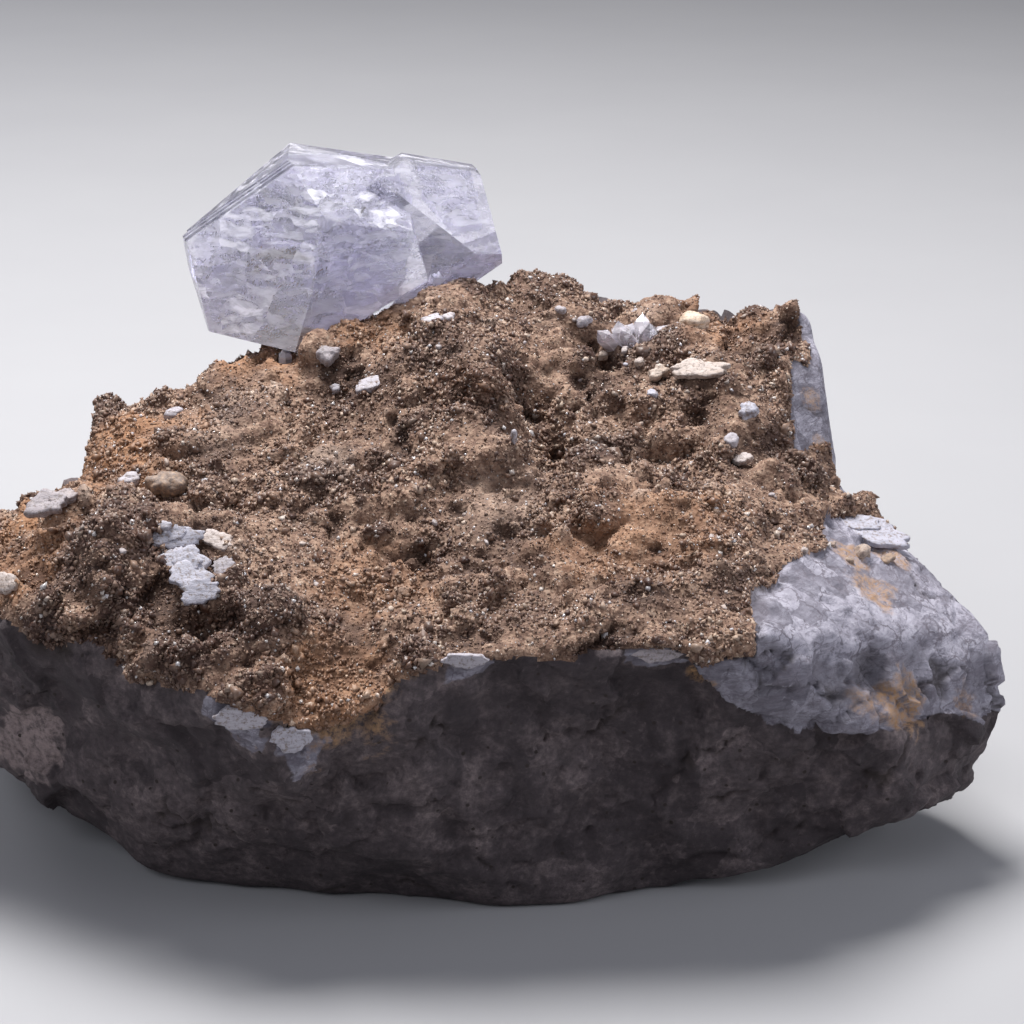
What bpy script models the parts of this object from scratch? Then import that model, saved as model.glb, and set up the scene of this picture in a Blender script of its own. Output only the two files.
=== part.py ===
"""A clear, double-ended quartz crystal group on a broken block of dolostone.

The block has a brown, lumpy crust on top and clean broken faces around and below.
It rests on a small flat spot under its middle. Lengths are in millimetres, and
MM turns them into the scene's metres. X runs along the block, Y from front to back
and Z up.
"""

import math
import random

import bmesh
import bpy
from mathutils import Matrix, Vector, noise

MM = 0.001

# Block
BLOCK_LENGTH = 108.0
BLOCK_DEPTH = 72.0
BLOCK_TRIANGLES = 8800
SEAT_GAP = 0.3
FOOT_LEVEL = 0.5
CUTTER_SIZE = 200.0

# Crust: its level at the middle of the block, and how it climbs towards a crest and falls behind it
CRUST_LEVEL = 38.5
CRUST_RISE = 0.32
CRUST_BACK_FALL = 0.5
CREST_Y_LEFT = 19.0
CREST_Y_RIGHT = 31.0
CREST_TURNS_X = (-16.0, 5.0)
LEFT_FALL = 0.22
LEFT_FALL_STARTS_X = -25.0
RIGHT_FALL = 0.45
RIGHT_FALL_STARTS_X = 28.0
RIGHT_FALL_FADES_Y = (24.0, 14.0)
CLIFF_DROP = 9.5
CLIFF_X = (-37.8, -39.4)
CLIFF_STARTS_Y = (-2.0, 5.0)

# Roughness of the crust and of the broken faces: sizes of the bumps and their heights
CRUST_GRID = 1.0
CRUST_MARGIN = (4.0, 6.0)
CRUST_BOTTOM = -10.0
CRUST_BUMPS = ((9.0, 1.6), (4.0, 1.6))
WALL_GRID = 1.15
WALL_CHIP_SIZE = 11.0
WALL_CHIP_DEPTH = 1.6
WALL_CHIP_MIDDLE = 0.45
WALL_BUMP_SIZE = 6.0
WALL_BUMP_HEIGHT = 0.7
WALL_STARTS_UNDER_CRUST = (1.5, 6.0)

# Crystal group, measured in its own viewing frame: U right, V up, W towards the viewer
CRYSTAL_CENTRE = (-14.8, 31.5, 53.2)
CRYSTAL_LOOKS_TO = math.radians(-86.2)
CRYSTAL_LOOKS_UP = math.radians(14.7)

LARGE_CRYSTAL_FACES = {
    # name: (a point on the face, the way it looks)
    "front_left": ((0.2, 2.7, 10.6), (-0.511, 0.247, 0.824)),
    "front_top": ((1.7, 7.8, 4.3), (0.375, 0.671, 0.640)),
    "front_middle": ((5.4, 1.8, 8.5), (0.385, 0.076, 0.920)),
    "front_low": ((3.1, -1.7, 9.7), (0.476, -0.065, 0.877)),
    "roof": ((1.7, 8.1, 4.3), (0.151, 0.965, 0.212)),
    "left_roof": ((-8.8, 5.2, 4.6), (-0.585, 0.795, 0.160)),
    "left_side": ((-13.5, -4.3, 4.2), (-0.970, -0.150, 0.194)),
    "underside": ((-8.7, -9.8, 8.9), (-0.160, -0.980, -0.105)),
    "right_underside": ((4.3, -8.1, 4.3), (0.500, -0.800, 0.100)),
    "right_side": ((9.3, 4.3, 0.0), (0.968, 0.247, 0.100)),
    "back_top": ((1.6, 10.5, -6.2), (0.069, 0.415, -0.907)),
    "back_middle": ((0.0, 0.0, -6.7), (-0.385, -0.076, -0.920)),
    "back_low": ((0.0, -6.0, -4.9), (-0.375, -0.671, -0.640)),
    "back_right": ((10.3, 0.0, -4.6), (0.511, -0.247, -0.824)),
}

SMALL_CRYSTAL_FACES = {
    "front_top": ((14.0, 0.4, 4.9), (0.367, 0.448, 0.815)),
    "front_low": ((14.0, 0.4, 4.9), (-0.108, -0.152, 0.982)),
    "front_right": ((16.1, -1.2, 4.9), (0.324, -0.612, 0.720)),
    "right_side": ((16.9, 7.6, -0.4), (0.970, 0.173, -0.100)),
    "right_underside": ((19.2, -2.1, 2.7), (0.550, -0.740, -0.380)),
    "underside": ((13.0, -5.4, 1.1), (0.150, -0.980, -0.130)),
    "roof": ((12.4, 9.0, -3.3), (0.178, 0.967, 0.180)),
    "roof_corner": ((16.5, 8.4, -3.3), (0.640, 0.745, 0.190)),
    "left_roof": ((8.4, 9.6, -3.3), (-0.490, 0.860, 0.140)),
    "back_top": ((12.4, 9.3, -4.6), (0.046, 0.371, -0.928)),
    "back_middle": ((13.0, 0.0, -9.2), (-0.385, -0.076, -0.920)),
    "back_right": ((13.0, 0.0, -6.5), (0.511, -0.247, -0.824)),
    "left_side": ((3.3, 0.0, 0.0), (-0.968, -0.247, 0.100)),
}

# Quartz points on the crust: foot, the way they grow, width, length
LONE_POINT = ((-18.4, 18.3, 41.6), (0.03, -0.10, 1.0), 1.4, 4.2)
POCKET_POINTS = (
    ((19.6, 23.6, 44.2), (0.10, -0.45, 0.9), 1.9, 3.4),
    ((18.3, 23.2, 44.0), (-0.45, -0.35, 0.8), 1.5, 3.0),
    ((20.6, 24.2, 44.0), (0.55, -0.15, 0.9), 1.7, 3.0),
    ((17.2, 23.8, 44.2), (-0.20, -0.10, 1.0), 1.7, 2.9),
    ((19.2, 24.6, 44.2), (0.05, 0.40, 1.0), 1.6, 3.3),
    ((16.1, 23.3, 44.3), (-0.60, -0.30, 0.7), 1.5, 2.7),
)
PYRAMID_LEAN = math.radians(51.8)

BROKEN_FACES = {
    # name: (a point on the face, the way it looks)
    "front_left": ((-37.0, -20.0, 28.0), (-0.50, -0.81, -0.30)),
    "front_right": ((2.5, -29.5, 29.4), (0.14, -0.95, -0.28)),
    "front_nose": ((-12.9, -32.8, 23.3), (-0.12, -0.83, -0.55)),
    "left_end": ((-53.5, -6.0, 24.0), (-0.90, -0.25, -0.35)),
    "left_under": ((-44.0, -8.0, 7.0), (-0.42, -0.25, -0.87)),
    "right_under": ((39.0, -12.0, 4.2), (0.34, -0.40, -0.85)),
    "right_end": ((54.0, -7.0, 14.5), (0.95, -0.10, -0.24)),
    "right_corner": ((48.5, -14.0, 17.0), (0.72, -0.66, -0.22)),
    "right_front": ((38.8, -19.0, 24.2), (0.66, -0.62, 0.42)),
    "back": ((0.0, 38.0, 32.0), (0.05, 0.98, 0.15)),
    "back_left": ((-38.0, 27.0, 30.0), (-0.62, 0.76, 0.15)),
    "back_right": ((34.0, 36.0, 30.0), (0.40, 0.90, 0.10)),
    "back_under": ((0.0, 36.0, 16.0), (0.08, 0.72, -0.69)),
    "foot_left": ((-25.0, 0.0, 0.0), (-0.14, -0.04, -0.99)),
    "foot_right": ((22.0, 0.0, 0.0), (0.15, -0.03, -0.99)),
    "foot_back": ((0.0, 13.0, 0.0), (0.03, 0.20, -0.98)),
    "foot": ((0.0, 0.0, 0.0), (0.0, 0.0, -1.0)),
}

RIGHT_NOTCH = {
    "block_side": ((38.7, 24.0, 38.0), (-0.985, -0.05, -0.08)),
    "ledge_back": ((37.6, 17.0, 25.0), (-0.805, -0.594, 0.05)),
}

WHITE_TOP = {
    "floor": ((35.0, -8.0, 31.8), (-0.45, 0.15, -0.88)),
    "block_front": ((37.5, 15.0, 30.0), (-0.60, 0.80, 0.0)),
}

# Hollows in the broken front: middle, depth, reach along X, reach along Z
WALL_HOLLOWS = (
    ((14.0, -26.0, 20.0), 2.6, 13.0, 9.0),
    ((34.0, -18.0, 12.0), 1.4, 9.0, 6.0),
    ((19.0, -18.0, 2.0), 2.0, 3.5, 4.0),
)

# Crust relief: x, y, height, reach along X, reach along Y
CRUST_SWELLS = (
    (-1.0, 17.0, 4.0, 6.0, 9.0),
    (2.0, 8.0, 4.4, 3.6, 8.0),
    (8.8, 9.0, -2.4, 3.0, 7.0),
    (15.0, 9.0, -4.4, 8.5, 9.0),
    (37.5, 14.0, -3.8, 5.0, 4.0),
    (46.0, 5.0, 1.6, 3.0, 4.0),
    (24.0, 6.0, -1.6, 8.0, 8.0),
    (9.0, 31.5, 2.6, 3.6, 4.5),
    (15.5, 31.0, -1.6, 5.5, 5.0),
    (28.0, 30.0, -2.8, 7.0, 6.0),
    (37.0, 28.5, -2.6, 5.0, 7.0),
    (-10.0, -15.0, -1.8, 11.0, 8.0),
    (-15.0, 6.0, -1.2, 6.0, 6.0),
    (-31.0, 19.0, -4.6, 6.0, 6.0),
    (-30.5, 26.5, -4.0, 5.5, 5.0),
    (-18.0, 20.5, 1.0, 4.0, 4.0),
    (-9.0, 24.5, 2.6, 7.0, 4.0),
    (-33.0, -14.5, 7.0, 4.2, 6.0),
    (-19.0, -22.5, 3.4, 4.5, 4.5),
    (-12.9, -33.5, -8.0, 9.0, 6.5),
    (-30.0, -27.0, -1.8, 8.0, 4.0),
    (15.0, -24.0, 1.4, 9.0, 4.0),
    (-52.0, 8.0, -3.5, 9.0, 14.0),
    (-43.0, 9.0, -2.6, 4.0, 8.0),
)

# Lumps grown on the crust: x, y, height, radius
CRUST_LUMPS = (
    (-7.2, -0.1, 2.2, 2.3),
    (-4.6, 4.7, 1.8, 2.2),
    (-12.7, -0.9, 1.6, 2.4),
    (2.2, 2.3, 1.8, 2.0),
    (17.4, -20.1, 2.2, 2.3),
    (-3.0, -27.0, 2.4, 2.2),
    (-36.8, 17.6, 1.5, 2.0),
    (24.6, 24.0, 1.3, 1.9),
    (24.7, 16.6, 1.0, 2.6),
    (5.6, 5.4, 1.6, 1.3),
    (-25.0, -4.0, 1.6, 2.2),
    (33.4, 3.0, 1.5, 2.4),
)
LOOSE_LUMPS = 130
LOOSE_LUMP_SEED = 11
LOOSE_LUMP_X = (-0.46, 0.34)
LOOSE_LUMP_Y = (-0.44, 0.40)
LOOSE_LUMP_RADIUS = (1.3, 2.4)
LOOSE_LUMP_HEIGHT = (0.6, 1.0)


def clear_scene():
    for thing in list(bpy.data.objects):
        bpy.data.objects.remove(thing, do_unlink=True)


def material(name, colour, roughness, metallic=0.0):
    made = bpy.data.materials.new(name)
    made.use_nodes = True
    shader = made.node_tree.nodes["Principled BSDF"]
    shader.inputs["Base Color"].default_value = (*colour, 1.0)
    shader.inputs["Roughness"].default_value = roughness
    shader.inputs["Metallic"].default_value = metallic
    return made


def add_object(name, mesh_data, look=None):
    made = bpy.data.objects.new(name, mesh_data)
    bpy.context.collection.objects.link(made)
    if look is not None:
        mesh_data.materials.append(look)
    return made


def convex_solid(name, faces, grow=0.0):
    """The space behind every face of a set: a big cube cut once by each of them."""
    body = bmesh.new()
    bmesh.ops.create_cube(body, size=CUTTER_SIZE * MM)
    for point, outward in faces.values():
        normal = Vector(outward).normalized()
        spot = Vector(point) + normal * grow
        everything = body.verts[:] + body.edges[:] + body.faces[:]
        bmesh.ops.bisect_plane(
            body, geom=everything, plane_co=spot * MM, plane_no=normal,
            clear_outer=True, dist=1e-7)
        rim = [edge for edge in body.edges if edge.is_boundary]
        if rim:
            bmesh.ops.contextual_create(body, geom=rim)
    bmesh.ops.recalc_face_normals(body, faces=body.faces)
    mesh_data = bpy.data.meshes.new(name)
    body.to_mesh(mesh_data)
    body.free()
    return mesh_data


def combine(target, other, operation):
    """Apply a Boolean of another object to the target and remove the other."""
    step = target.modifiers.new("combine", "BOOLEAN")
    step.operation = operation
    step.solver = "EXACT"
    step.object = other
    bake_modifiers(target)
    bpy.data.objects.remove(other, do_unlink=True)


def bake_modifiers(thing):
    graph = bpy.context.evaluated_depsgraph_get()
    baked = bpy.data.meshes.new_from_object(thing.evaluated_get(graph))
    thing.modifiers.clear()
    thing.data = baked


def smooth_step(low, high, value):
    part = min(max((value - low) / (high - low), 0.0), 1.0)
    return part * part * (3.0 - 2.0 * part)


def bell(dx, dy, reach_x, reach_y):
    return math.exp(-((dx / reach_x) ** 2 + (dy / reach_y) ** 2))


def ridge_line(x):
    """How far back the crust climbs before it falls away again."""
    return CREST_Y_LEFT + (CREST_Y_RIGHT - CREST_Y_LEFT) * smooth_step(*CREST_TURNS_X, x)


def crust_level(x, y):
    """The crust without its swells and lumps."""
    crest = ridge_line(x)
    level = CRUST_LEVEL + CRUST_RISE * min(y, crest)
    level -= CRUST_BACK_FALL * max(y - crest, 0.0)
    level -= LEFT_FALL * max(LEFT_FALL_STARTS_X - x, 0.0)
    level -= CLIFF_DROP * smooth_step(*CLIFF_X, x) * smooth_step(*CLIFF_STARTS_Y, y)
    level -= RIGHT_FALL * max(x - RIGHT_FALL_STARTS_X, 0.0) * smooth_step(*RIGHT_FALL_FADES_Y, y)
    return level


def loose_lumps():
    pick = random.Random(LOOSE_LUMP_SEED)
    lumps = []
    for _ in range(LOOSE_LUMPS):
        x = pick.uniform(*LOOSE_LUMP_X) * BLOCK_LENGTH
        y = pick.uniform(*LOOSE_LUMP_Y) * BLOCK_DEPTH
        radius = pick.uniform(*LOOSE_LUMP_RADIUS)
        lumps.append((x, y, radius * pick.uniform(*LOOSE_LUMP_HEIGHT), radius))
    return lumps


def crust_height(x, y, lumps):
    height = crust_level(x, y)
    for swell_x, swell_y, rise, reach_x, reach_y in CRUST_SWELLS:
        height += rise * bell(x - swell_x, y - swell_y, reach_x, reach_y)
    for lump_x, lump_y, rise, radius in lumps:
        away = (x - lump_x) ** 2 + (y - lump_y) ** 2
        if away < radius * radius:
            height += rise * math.sqrt(1.0 - away / (radius * radius))
    for size, rise in CRUST_BUMPS:
        height += rise * noise.noise(Vector((x, y, size)) / size)
    return height


def crust_block():
    """A slab whose top is the crust and whose underside lies below the foot."""
    lumps = list(CRUST_LUMPS) + loose_lumps()
    half_x = BLOCK_LENGTH / 2.0 + CRUST_MARGIN[0]
    half_y = BLOCK_DEPTH / 2.0 + CRUST_MARGIN[1]
    columns = int(2.0 * half_x / CRUST_GRID) + 1
    rows = int(2.0 * half_y / CRUST_GRID) + 1
    body = bmesh.new()
    top = []
    for row in range(rows):
        y = -half_y + 2.0 * half_y * row / (rows - 1)
        line = []
        for column in range(columns):
            x = -half_x + 2.0 * half_x * column / (columns - 1)
            line.append(body.verts.new(Vector((x, y, crust_height(x, y, lumps))) * MM))
        top.append(line)
    for row in range(rows - 1):
        for column in range(columns - 1):
            body.faces.new((top[row][column], top[row][column + 1],
                            top[row + 1][column + 1], top[row + 1][column]))
    rim = [edge for edge in body.edges if edge.is_boundary]
    skirt = bmesh.ops.extrude_edge_only(body, edges=rim)["geom"]
    for vert in skirt:
        if isinstance(vert, bmesh.types.BMVert):
            vert.co.z = CRUST_BOTTOM * MM
    bmesh.ops.contextual_create(body, geom=[edge for edge in body.edges if edge.is_boundary])
    bmesh.ops.recalc_face_normals(body, faces=body.faces)
    mesh_data = bpy.data.meshes.new("crust_block")
    body.to_mesh(mesh_data)
    body.free()
    return mesh_data


def roughen_walls(mesh_data):
    """Break the clean cuts into shallow chips, and leave the crust as it is."""
    moved = []
    for vert in mesh_data.vertices:
        spot = vert.co / MM
        from_crust = crust_level(spot.x, spot.y) - spot.z
        depth = smooth_step(*WALL_STARTS_UNDER_CRUST, from_crust)
        if spot.z < FOOT_LEVEL:
            depth = 0.0
        chips = noise.voronoi(spot / WALL_CHIP_SIZE)[0][0] - WALL_CHIP_MIDDLE
        bumps = noise.noise(spot / WALL_BUMP_SIZE)
        push = (WALL_CHIP_DEPTH * chips + WALL_BUMP_HEIGHT * bumps) * depth
        if vert.normal.y < -0.3:
            for middle, hollow, reach_x, reach_z in WALL_HOLLOWS:
                push -= hollow * bell(spot.x - middle[0], spot.z - middle[2], reach_x, reach_z)
        moved.append(vert.co + vert.normal * push * MM)
    for vert, place in zip(mesh_data.vertices, moved):
        vert.co = place


def make_block(look):
    block = add_object("matrix", crust_block())
    combine(block, add_object("broken_faces", convex_solid("broken_faces", BROKEN_FACES)), "INTERSECT")
    combine(block, add_object("right_notch", convex_solid("right_notch", RIGHT_NOTCH)), "DIFFERENCE")
    combine(block, add_object("white_top", convex_solid("white_top", WHITE_TOP)), "DIFFERENCE")
    grain = block.modifiers.new("grain", "REMESH")
    grain.mode = "VOXEL"
    grain.voxel_size = WALL_GRID * MM
    bake_modifiers(block)
    roughen_walls(block.data)
    thin = block.modifiers.new("thin", "DECIMATE")
    block.data.calc_loop_triangles()
    thin.ratio = BLOCK_TRIANGLES / len(block.data.loop_triangles)
    bake_modifiers(block)
    flatten_foot(block)
    block.data.materials.clear()
    block.data.materials.append(look)
    return block


def flatten_foot(block):
    """Cut the underside off level, for the small flat spot that the block rests on."""
    keep = {"foot": ((0.0, 0.0, FOOT_LEVEL), (0.0, 0.0, -1.0))}
    combine(block, add_object("foot_cut", convex_solid("foot_cut", keep)), "INTERSECT")


def crystal_frame():
    """The crystal group's viewing frame as a placement in the block's frame."""
    level = math.cos(CRYSTAL_LOOKS_UP)
    towards = Vector((level * math.cos(CRYSTAL_LOOKS_TO), level * math.sin(CRYSTAL_LOOKS_TO),
                      math.sin(CRYSTAL_LOOKS_UP)))
    right = Vector((0.0, 0.0, 1.0)).cross(towards).normalized()
    up = towards.cross(right)
    turn = Matrix((right, up, towards)).transposed().to_4x4()
    return Matrix.Translation(Vector(CRYSTAL_CENTRE)) @ turn


def placed_faces(faces, frame):
    """The same faces, carried from a frame of their own into the block's frame."""
    turn = frame.to_3x3()
    return {name: (frame @ Vector(point), turn @ Vector(outward))
            for name, (point, outward) in faces.items()}


def quartz_point_faces(foot, grows, width, length):
    """Six sides, a six-sided pyramid and a flat foot for a small quartz crystal."""
    grows = Vector(grows).normalized()
    across = grows.orthogonal().normalized()
    tip = Vector(foot) + grows * length
    faces = {"foot": (foot, -grows)}
    for side in range(6):
        away = Matrix.Rotation(math.radians(60.0 * side + 20.0), 3, grows) @ across
        faces[f"side_{side}"] = (Vector(foot) + away * width / 2.0, away)
        lean = away * math.sin(PYRAMID_LEAN) + grows * math.cos(PYRAMID_LEAN)
        faces[f"pyramid_{side}"] = (tip, lean)
    return faces


def grow_together(name, crystals, block, look):
    """Join crystals that grew into each other, and seat them in the block with a gap."""
    joined = None
    for faces in crystals:
        seat = add_object("seat", convex_solid("seat", faces, grow=SEAT_GAP))
        combine(block, seat, "DIFFERENCE")
        crystal = add_object(name, convex_solid(name, faces))
        if joined is None:
            joined = crystal
        else:
            combine(joined, crystal, "UNION")
    joined.name = name
    joined.data.materials.clear()
    joined.data.materials.append(look)
    return joined


def stand_on_origin(things):
    """Move everything so that the middle of the underside of the whole is the origin."""
    corners = [thing.matrix_world @ vert.co for thing in things for vert in thing.data.vertices]
    low = [min(corner[axis] for corner in corners) for axis in range(3)]
    high = [max(corner[axis] for corner in corners) for axis in range(3)]
    shift = Vector((-(low[0] + high[0]) / 2.0, -(low[1] + high[1]) / 2.0, -low[2]))
    for thing in things:
        thing.data.transform(Matrix.Translation(shift))


def main():
    clear_scene()
    stone = material("crusted dolostone", (0.30, 0.21, 0.14), 0.9)
    clear_quartz = material("clear quartz", (0.86, 0.85, 0.92), 0.05)
    pale_quartz = material("small clear quartz", (0.80, 0.82, 0.88), 0.08)
    block = make_block(stone)
    frame = crystal_frame()
    pair = [placed_faces(LARGE_CRYSTAL_FACES, frame), placed_faces(SMALL_CRYSTAL_FACES, frame)]
    group = grow_together("herkimer_crystal", pair, block, clear_quartz)
    lone = grow_together("small_quartz_point", [quartz_point_faces(*LONE_POINT)], block, pale_quartz)
    pocket = [quartz_point_faces(*point) for point in POCKET_POINTS]
    cluster = grow_together("pocket_quartz", pocket, block, pale_quartz)
    stand_on_origin([block, group, lone, cluster])


main()
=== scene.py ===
import math

import bmesh
import bpy
import numpy as np
from bpy.props import FloatProperty, FloatVectorProperty, IntProperty, PointerProperty
from mathutils import Matrix, Vector, noise
from mathutils.bvhtree import BVHTree


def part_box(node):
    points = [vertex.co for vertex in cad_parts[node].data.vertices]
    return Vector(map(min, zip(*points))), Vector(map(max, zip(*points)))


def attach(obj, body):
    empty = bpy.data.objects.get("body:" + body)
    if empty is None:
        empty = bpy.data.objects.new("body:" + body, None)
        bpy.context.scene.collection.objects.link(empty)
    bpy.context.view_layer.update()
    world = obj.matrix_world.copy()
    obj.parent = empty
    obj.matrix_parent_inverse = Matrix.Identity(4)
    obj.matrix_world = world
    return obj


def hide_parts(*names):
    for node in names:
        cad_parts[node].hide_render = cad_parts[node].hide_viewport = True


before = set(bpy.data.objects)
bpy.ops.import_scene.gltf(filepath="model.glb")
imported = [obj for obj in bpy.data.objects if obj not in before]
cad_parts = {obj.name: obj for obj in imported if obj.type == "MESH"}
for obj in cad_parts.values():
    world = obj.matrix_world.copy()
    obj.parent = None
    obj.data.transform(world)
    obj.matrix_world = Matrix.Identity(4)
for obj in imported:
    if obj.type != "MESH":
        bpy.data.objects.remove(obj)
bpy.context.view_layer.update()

bl_info = {
    "name": "Quartz crystal on crusted dolostone",
    "version": (1, 0, 0),
    "blender": (4, 5, 0),
    "location": "View3D > Sidebar > Crystal",
    "description": "Makes the fine stone, crust, grains and clear quartz round the packed solids",
    "category": "Add Mesh",
}

MM = 0.001

# The crystal group in the block's own millimetres: its low corner and its viewing frame
CRYSTAL_LOW = (-30.1236, 16.3989, 42.8047)
CRYSTAL_CENTRE = (-14.8, 31.5, 53.2)
CRYSTAL_LOOKS_TO = math.radians(-86.2)
CRYSTAL_LOOKS_UP = math.radians(14.7)
BLOCK_ORIGIN = np.array(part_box("herkimer_crystal")[0]) - np.array(CRYSTAL_LOW) * MM

# Camera: what it looks at and how far off it stands, in the block's millimetres; its height above
# the horizon; the width it sees at that distance; what it shows and its sensor, in metres and mm
VIEW_TARGET = (5.4, 0.0, 34.0)
VIEW_ELEVATION = math.radians(20.0)
VIEW_DISTANCE = 290.0
VIEW_WIDTH = 102.4
VIEW_RANGE = (0.01, 20.0)
SENSOR_WIDTH = 36.0
LAMPS_LOOK_AT = (0.0, 0.0, 0.03)
FLOOR_GAP = 0.00005

# Broken faces of the block: a point on each, and the way it looks
BROKEN_FACES = (
    ((-37.0, -20.0, 28.0), (-0.50, -0.81, -0.30)),
    ((2.5, -29.5, 29.4), (0.14, -0.95, -0.28)),
    ((-12.9, -32.8, 23.3), (-0.12, -0.83, -0.55)),
    ((-53.5, -6.0, 24.0), (-0.90, -0.25, -0.35)),
    ((-44.0, -8.0, 7.0), (-0.42, -0.25, -0.87)),
    ((39.0, -12.0, 4.2), (0.34, -0.40, -0.85)),
    ((54.0, -7.0, 14.5), (0.95, -0.10, -0.24)),
    ((48.5, -14.0, 17.0), (0.72, -0.66, -0.22)),
    ((38.8, -19.0, 24.2), (0.66, -0.62, 0.42)),
    ((0.0, 38.0, 32.0), (0.05, 0.98, 0.15)),
    ((-38.0, 27.0, 30.0), (-0.62, 0.76, 0.15)),
    ((34.0, 36.0, 30.0), (0.40, 0.90, 0.10)),
    ((0.0, 36.0, 16.0), (0.08, 0.72, -0.69)),
    ((-25.0, 0.0, 0.0), (-0.14, -0.04, -0.99)),
    ((22.0, 0.0, 0.0), (0.15, -0.03, -0.99)),
    ((0.0, 13.0, 0.0), (0.03, 0.20, -0.98)),
    ((38.7, 24.0, 38.0), (0.985, 0.05, 0.08)),
    ((37.6, 17.0, 25.0), (0.805, 0.594, -0.05)),
    ((37.5, 15.0, 30.0), (0.60, -0.80, 0.0)),
)
NOTCH_FACES = 3
NOTCH_STARTS_X = 34.5

# The flat foot's height, and the height over which the walls grow rough above it
FOOT_LEVEL = 0.5
FOOT_SOFT = 9.0

SMALL_CRYSTALS = ("small_quartz_point", "pocket_quartz")

# Lowest height of the crust along the block's front, and how far back this edge is known
CRUST_EDGE_X = (-56.0, -48.0, -42.0, -36.0, -28.0, -22.0, -16.0, -11.0, -6.0, 0.0, 8.0, 16.0, 22.0, 27.0)
CRUST_EDGE_Z = (25.5, 27.5, 28.5, 28.0, 27.0, 26.0, 24.0, 23.5, 26.8, 29.6, 29.8, 30.4, 29.4, 28.6)
CRUST_EDGE_ENDS_Y = (2.0, -2.0)

# Where the crust ends and the white broken top begins: Y against X, front to back
WHITE_EDGE_Y = (-30.0, -21.0, -13.7, -4.0, 1.1, 4.5, 7.5)
WHITE_EDGE_X = (27.0, 28.7, 30.9, 36.6, 36.2, 38.5, 60.0)

# Lowest height of the white break at the block's right end
WHITE_LOW_X = (21.0, 23.0, 24.9, 27.2, 29.3, 32.7, 35.5, 40.5, 44.9, 48.2, 52.5)
WHITE_LOW_Z = (31.0, 27.0, 24.8, 23.0, 20.9, 19.6, 19.6, 19.2, 18.2, 17.9, 15.0)

# Patches on the stone: x, y, z, reach, strength
DARK_SPOTS = (
    (-33.5, -13.0, 35.5, 6.0, 1.0),
    (-26.0, 0.0, 37.5, 5.0, 0.5),
    (-22.0, 8.0, 40.5, 3.0, 0.6),
    (-31.5, -20.5, 32.0, 3.8, 1.0),
    (-38.0, -17.5, 29.0, 3.5, 1.0),
    (-18.0, -22.5, 33.0, 5.0, 0.8),
    (-12.6, -20.3, 30.6, 3.0, 0.5),
    (-22.0, -23.4, 31.5, 3.0, 1.0),
    (-24.8, -25.0, 29.0, 3.4, 1.0),
    (0.5, 6.8, 44.0, 5.0, 0.8),
    (-1.0, 14.0, 46.5, 5.0, 0.5),
    (5.2, 13.0, 44.0, 3.5, 0.7),
    (-37.0, 15.5, 39.0, 3.4, 0.8),
    (-7.2, -0.8, 39.0, 2.5, 0.8),
    (-4.6, 4.7, 40.5, 2.3, 0.9),
    (17.4, -20.5, 32.0, 2.5, 0.9),
    (-3.0, -27.4, 31.0, 2.6, 0.9),
    (26.5, -17.0, 33.0, 3.2, 0.5),
    (32.5, 10.1, 36.6, 3.4, 0.8),
    (14.6, 15.6, 40.7, 3.5, 0.5),
    (9.0, 31.0, 47.0, 4.5, 0.6),
    (20.0, 21.5, 43.5, 4.5, 0.6),
    (-12.0, 15.0, 43.0, 3.0, 0.6),
    (6.0, -22.0, 31.0, 5.0, 0.45),
    (1.0, -12.0, 34.0, 5.0, 0.4),
    (31.0, 22.0, 44.0, 3.5, 0.5),
    # The spots from here on sit in the dents at the right end, in hollows and under the white ledge:
    # painted shade there.
    (35.6, -21.0, 26.6, 2.6, 0.62),
    (38.6, -19.0, 26.8, 2.4, 0.55),
    (36.5, -21.0, 24.6, 2.6, 0.75),
    (40.5, -17.8, 24.4, 2.6, 0.7),
    (44.6, -14.6, 22.6, 2.2, 0.5),
    (41.8, 0.6, 29.4, 1.8, 0.8),
    (38.4, 0.4, 30.6, 1.4, 0.7),
)

# Hollows in the stone, and swellings where the depth is below zero: x, y, z, reach, depth
DENTS = (
    (31.5, 31.5, 47.0, 4.0, 1.6),
    (25.8, 32.5, 44.6, 3.0, -1.5),
    (15.0, 31.5, 48.0, 2.5, 1.2),
    (-40.2, 16.6, 32.5, 3.0, 1.5),
    (-46.9, 18.0, 30.0, 3.0, 1.2),
    (39.4, 11.2, 33.5, 3.0, 1.5),
    (36.0, -21.4, 25.8, 3.2, 1.5),
    (40.0, -18.6, 25.2, 2.8, 1.3),
    (44.4, -15.0, 22.4, 2.4, 0.8),
    (-22.0, -23.2, 31.2, 3.2, 1.8),
    (-24.8, -22.6, 31.0, 2.4, 1.4),
    (-33.0, -21.0, 31.5, 3.6, 1.6),
    (-30.5, -13.5, 34.0, 2.6, 1.4),
    (10.0, -6.0, 36.0, 2.6, 0.3),
    (3.0, -2.0, 38.0, 2.4, 1.1),
    (-8.0, -8.0, 37.0, 2.4, 0.9),
    (16.0, 12.0, 40.0, 3.0, 1.2),
    (24.0, 3.0, 38.0, 2.6, 0.9),
    (-18.0, 4.0, 39.5, 2.6, 1.0),
    (8.0, 12.5, 42.5, 3.0, 1.6),
    (41.5, 0.4, 29.6, 2.2, 0.9),
)
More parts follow.
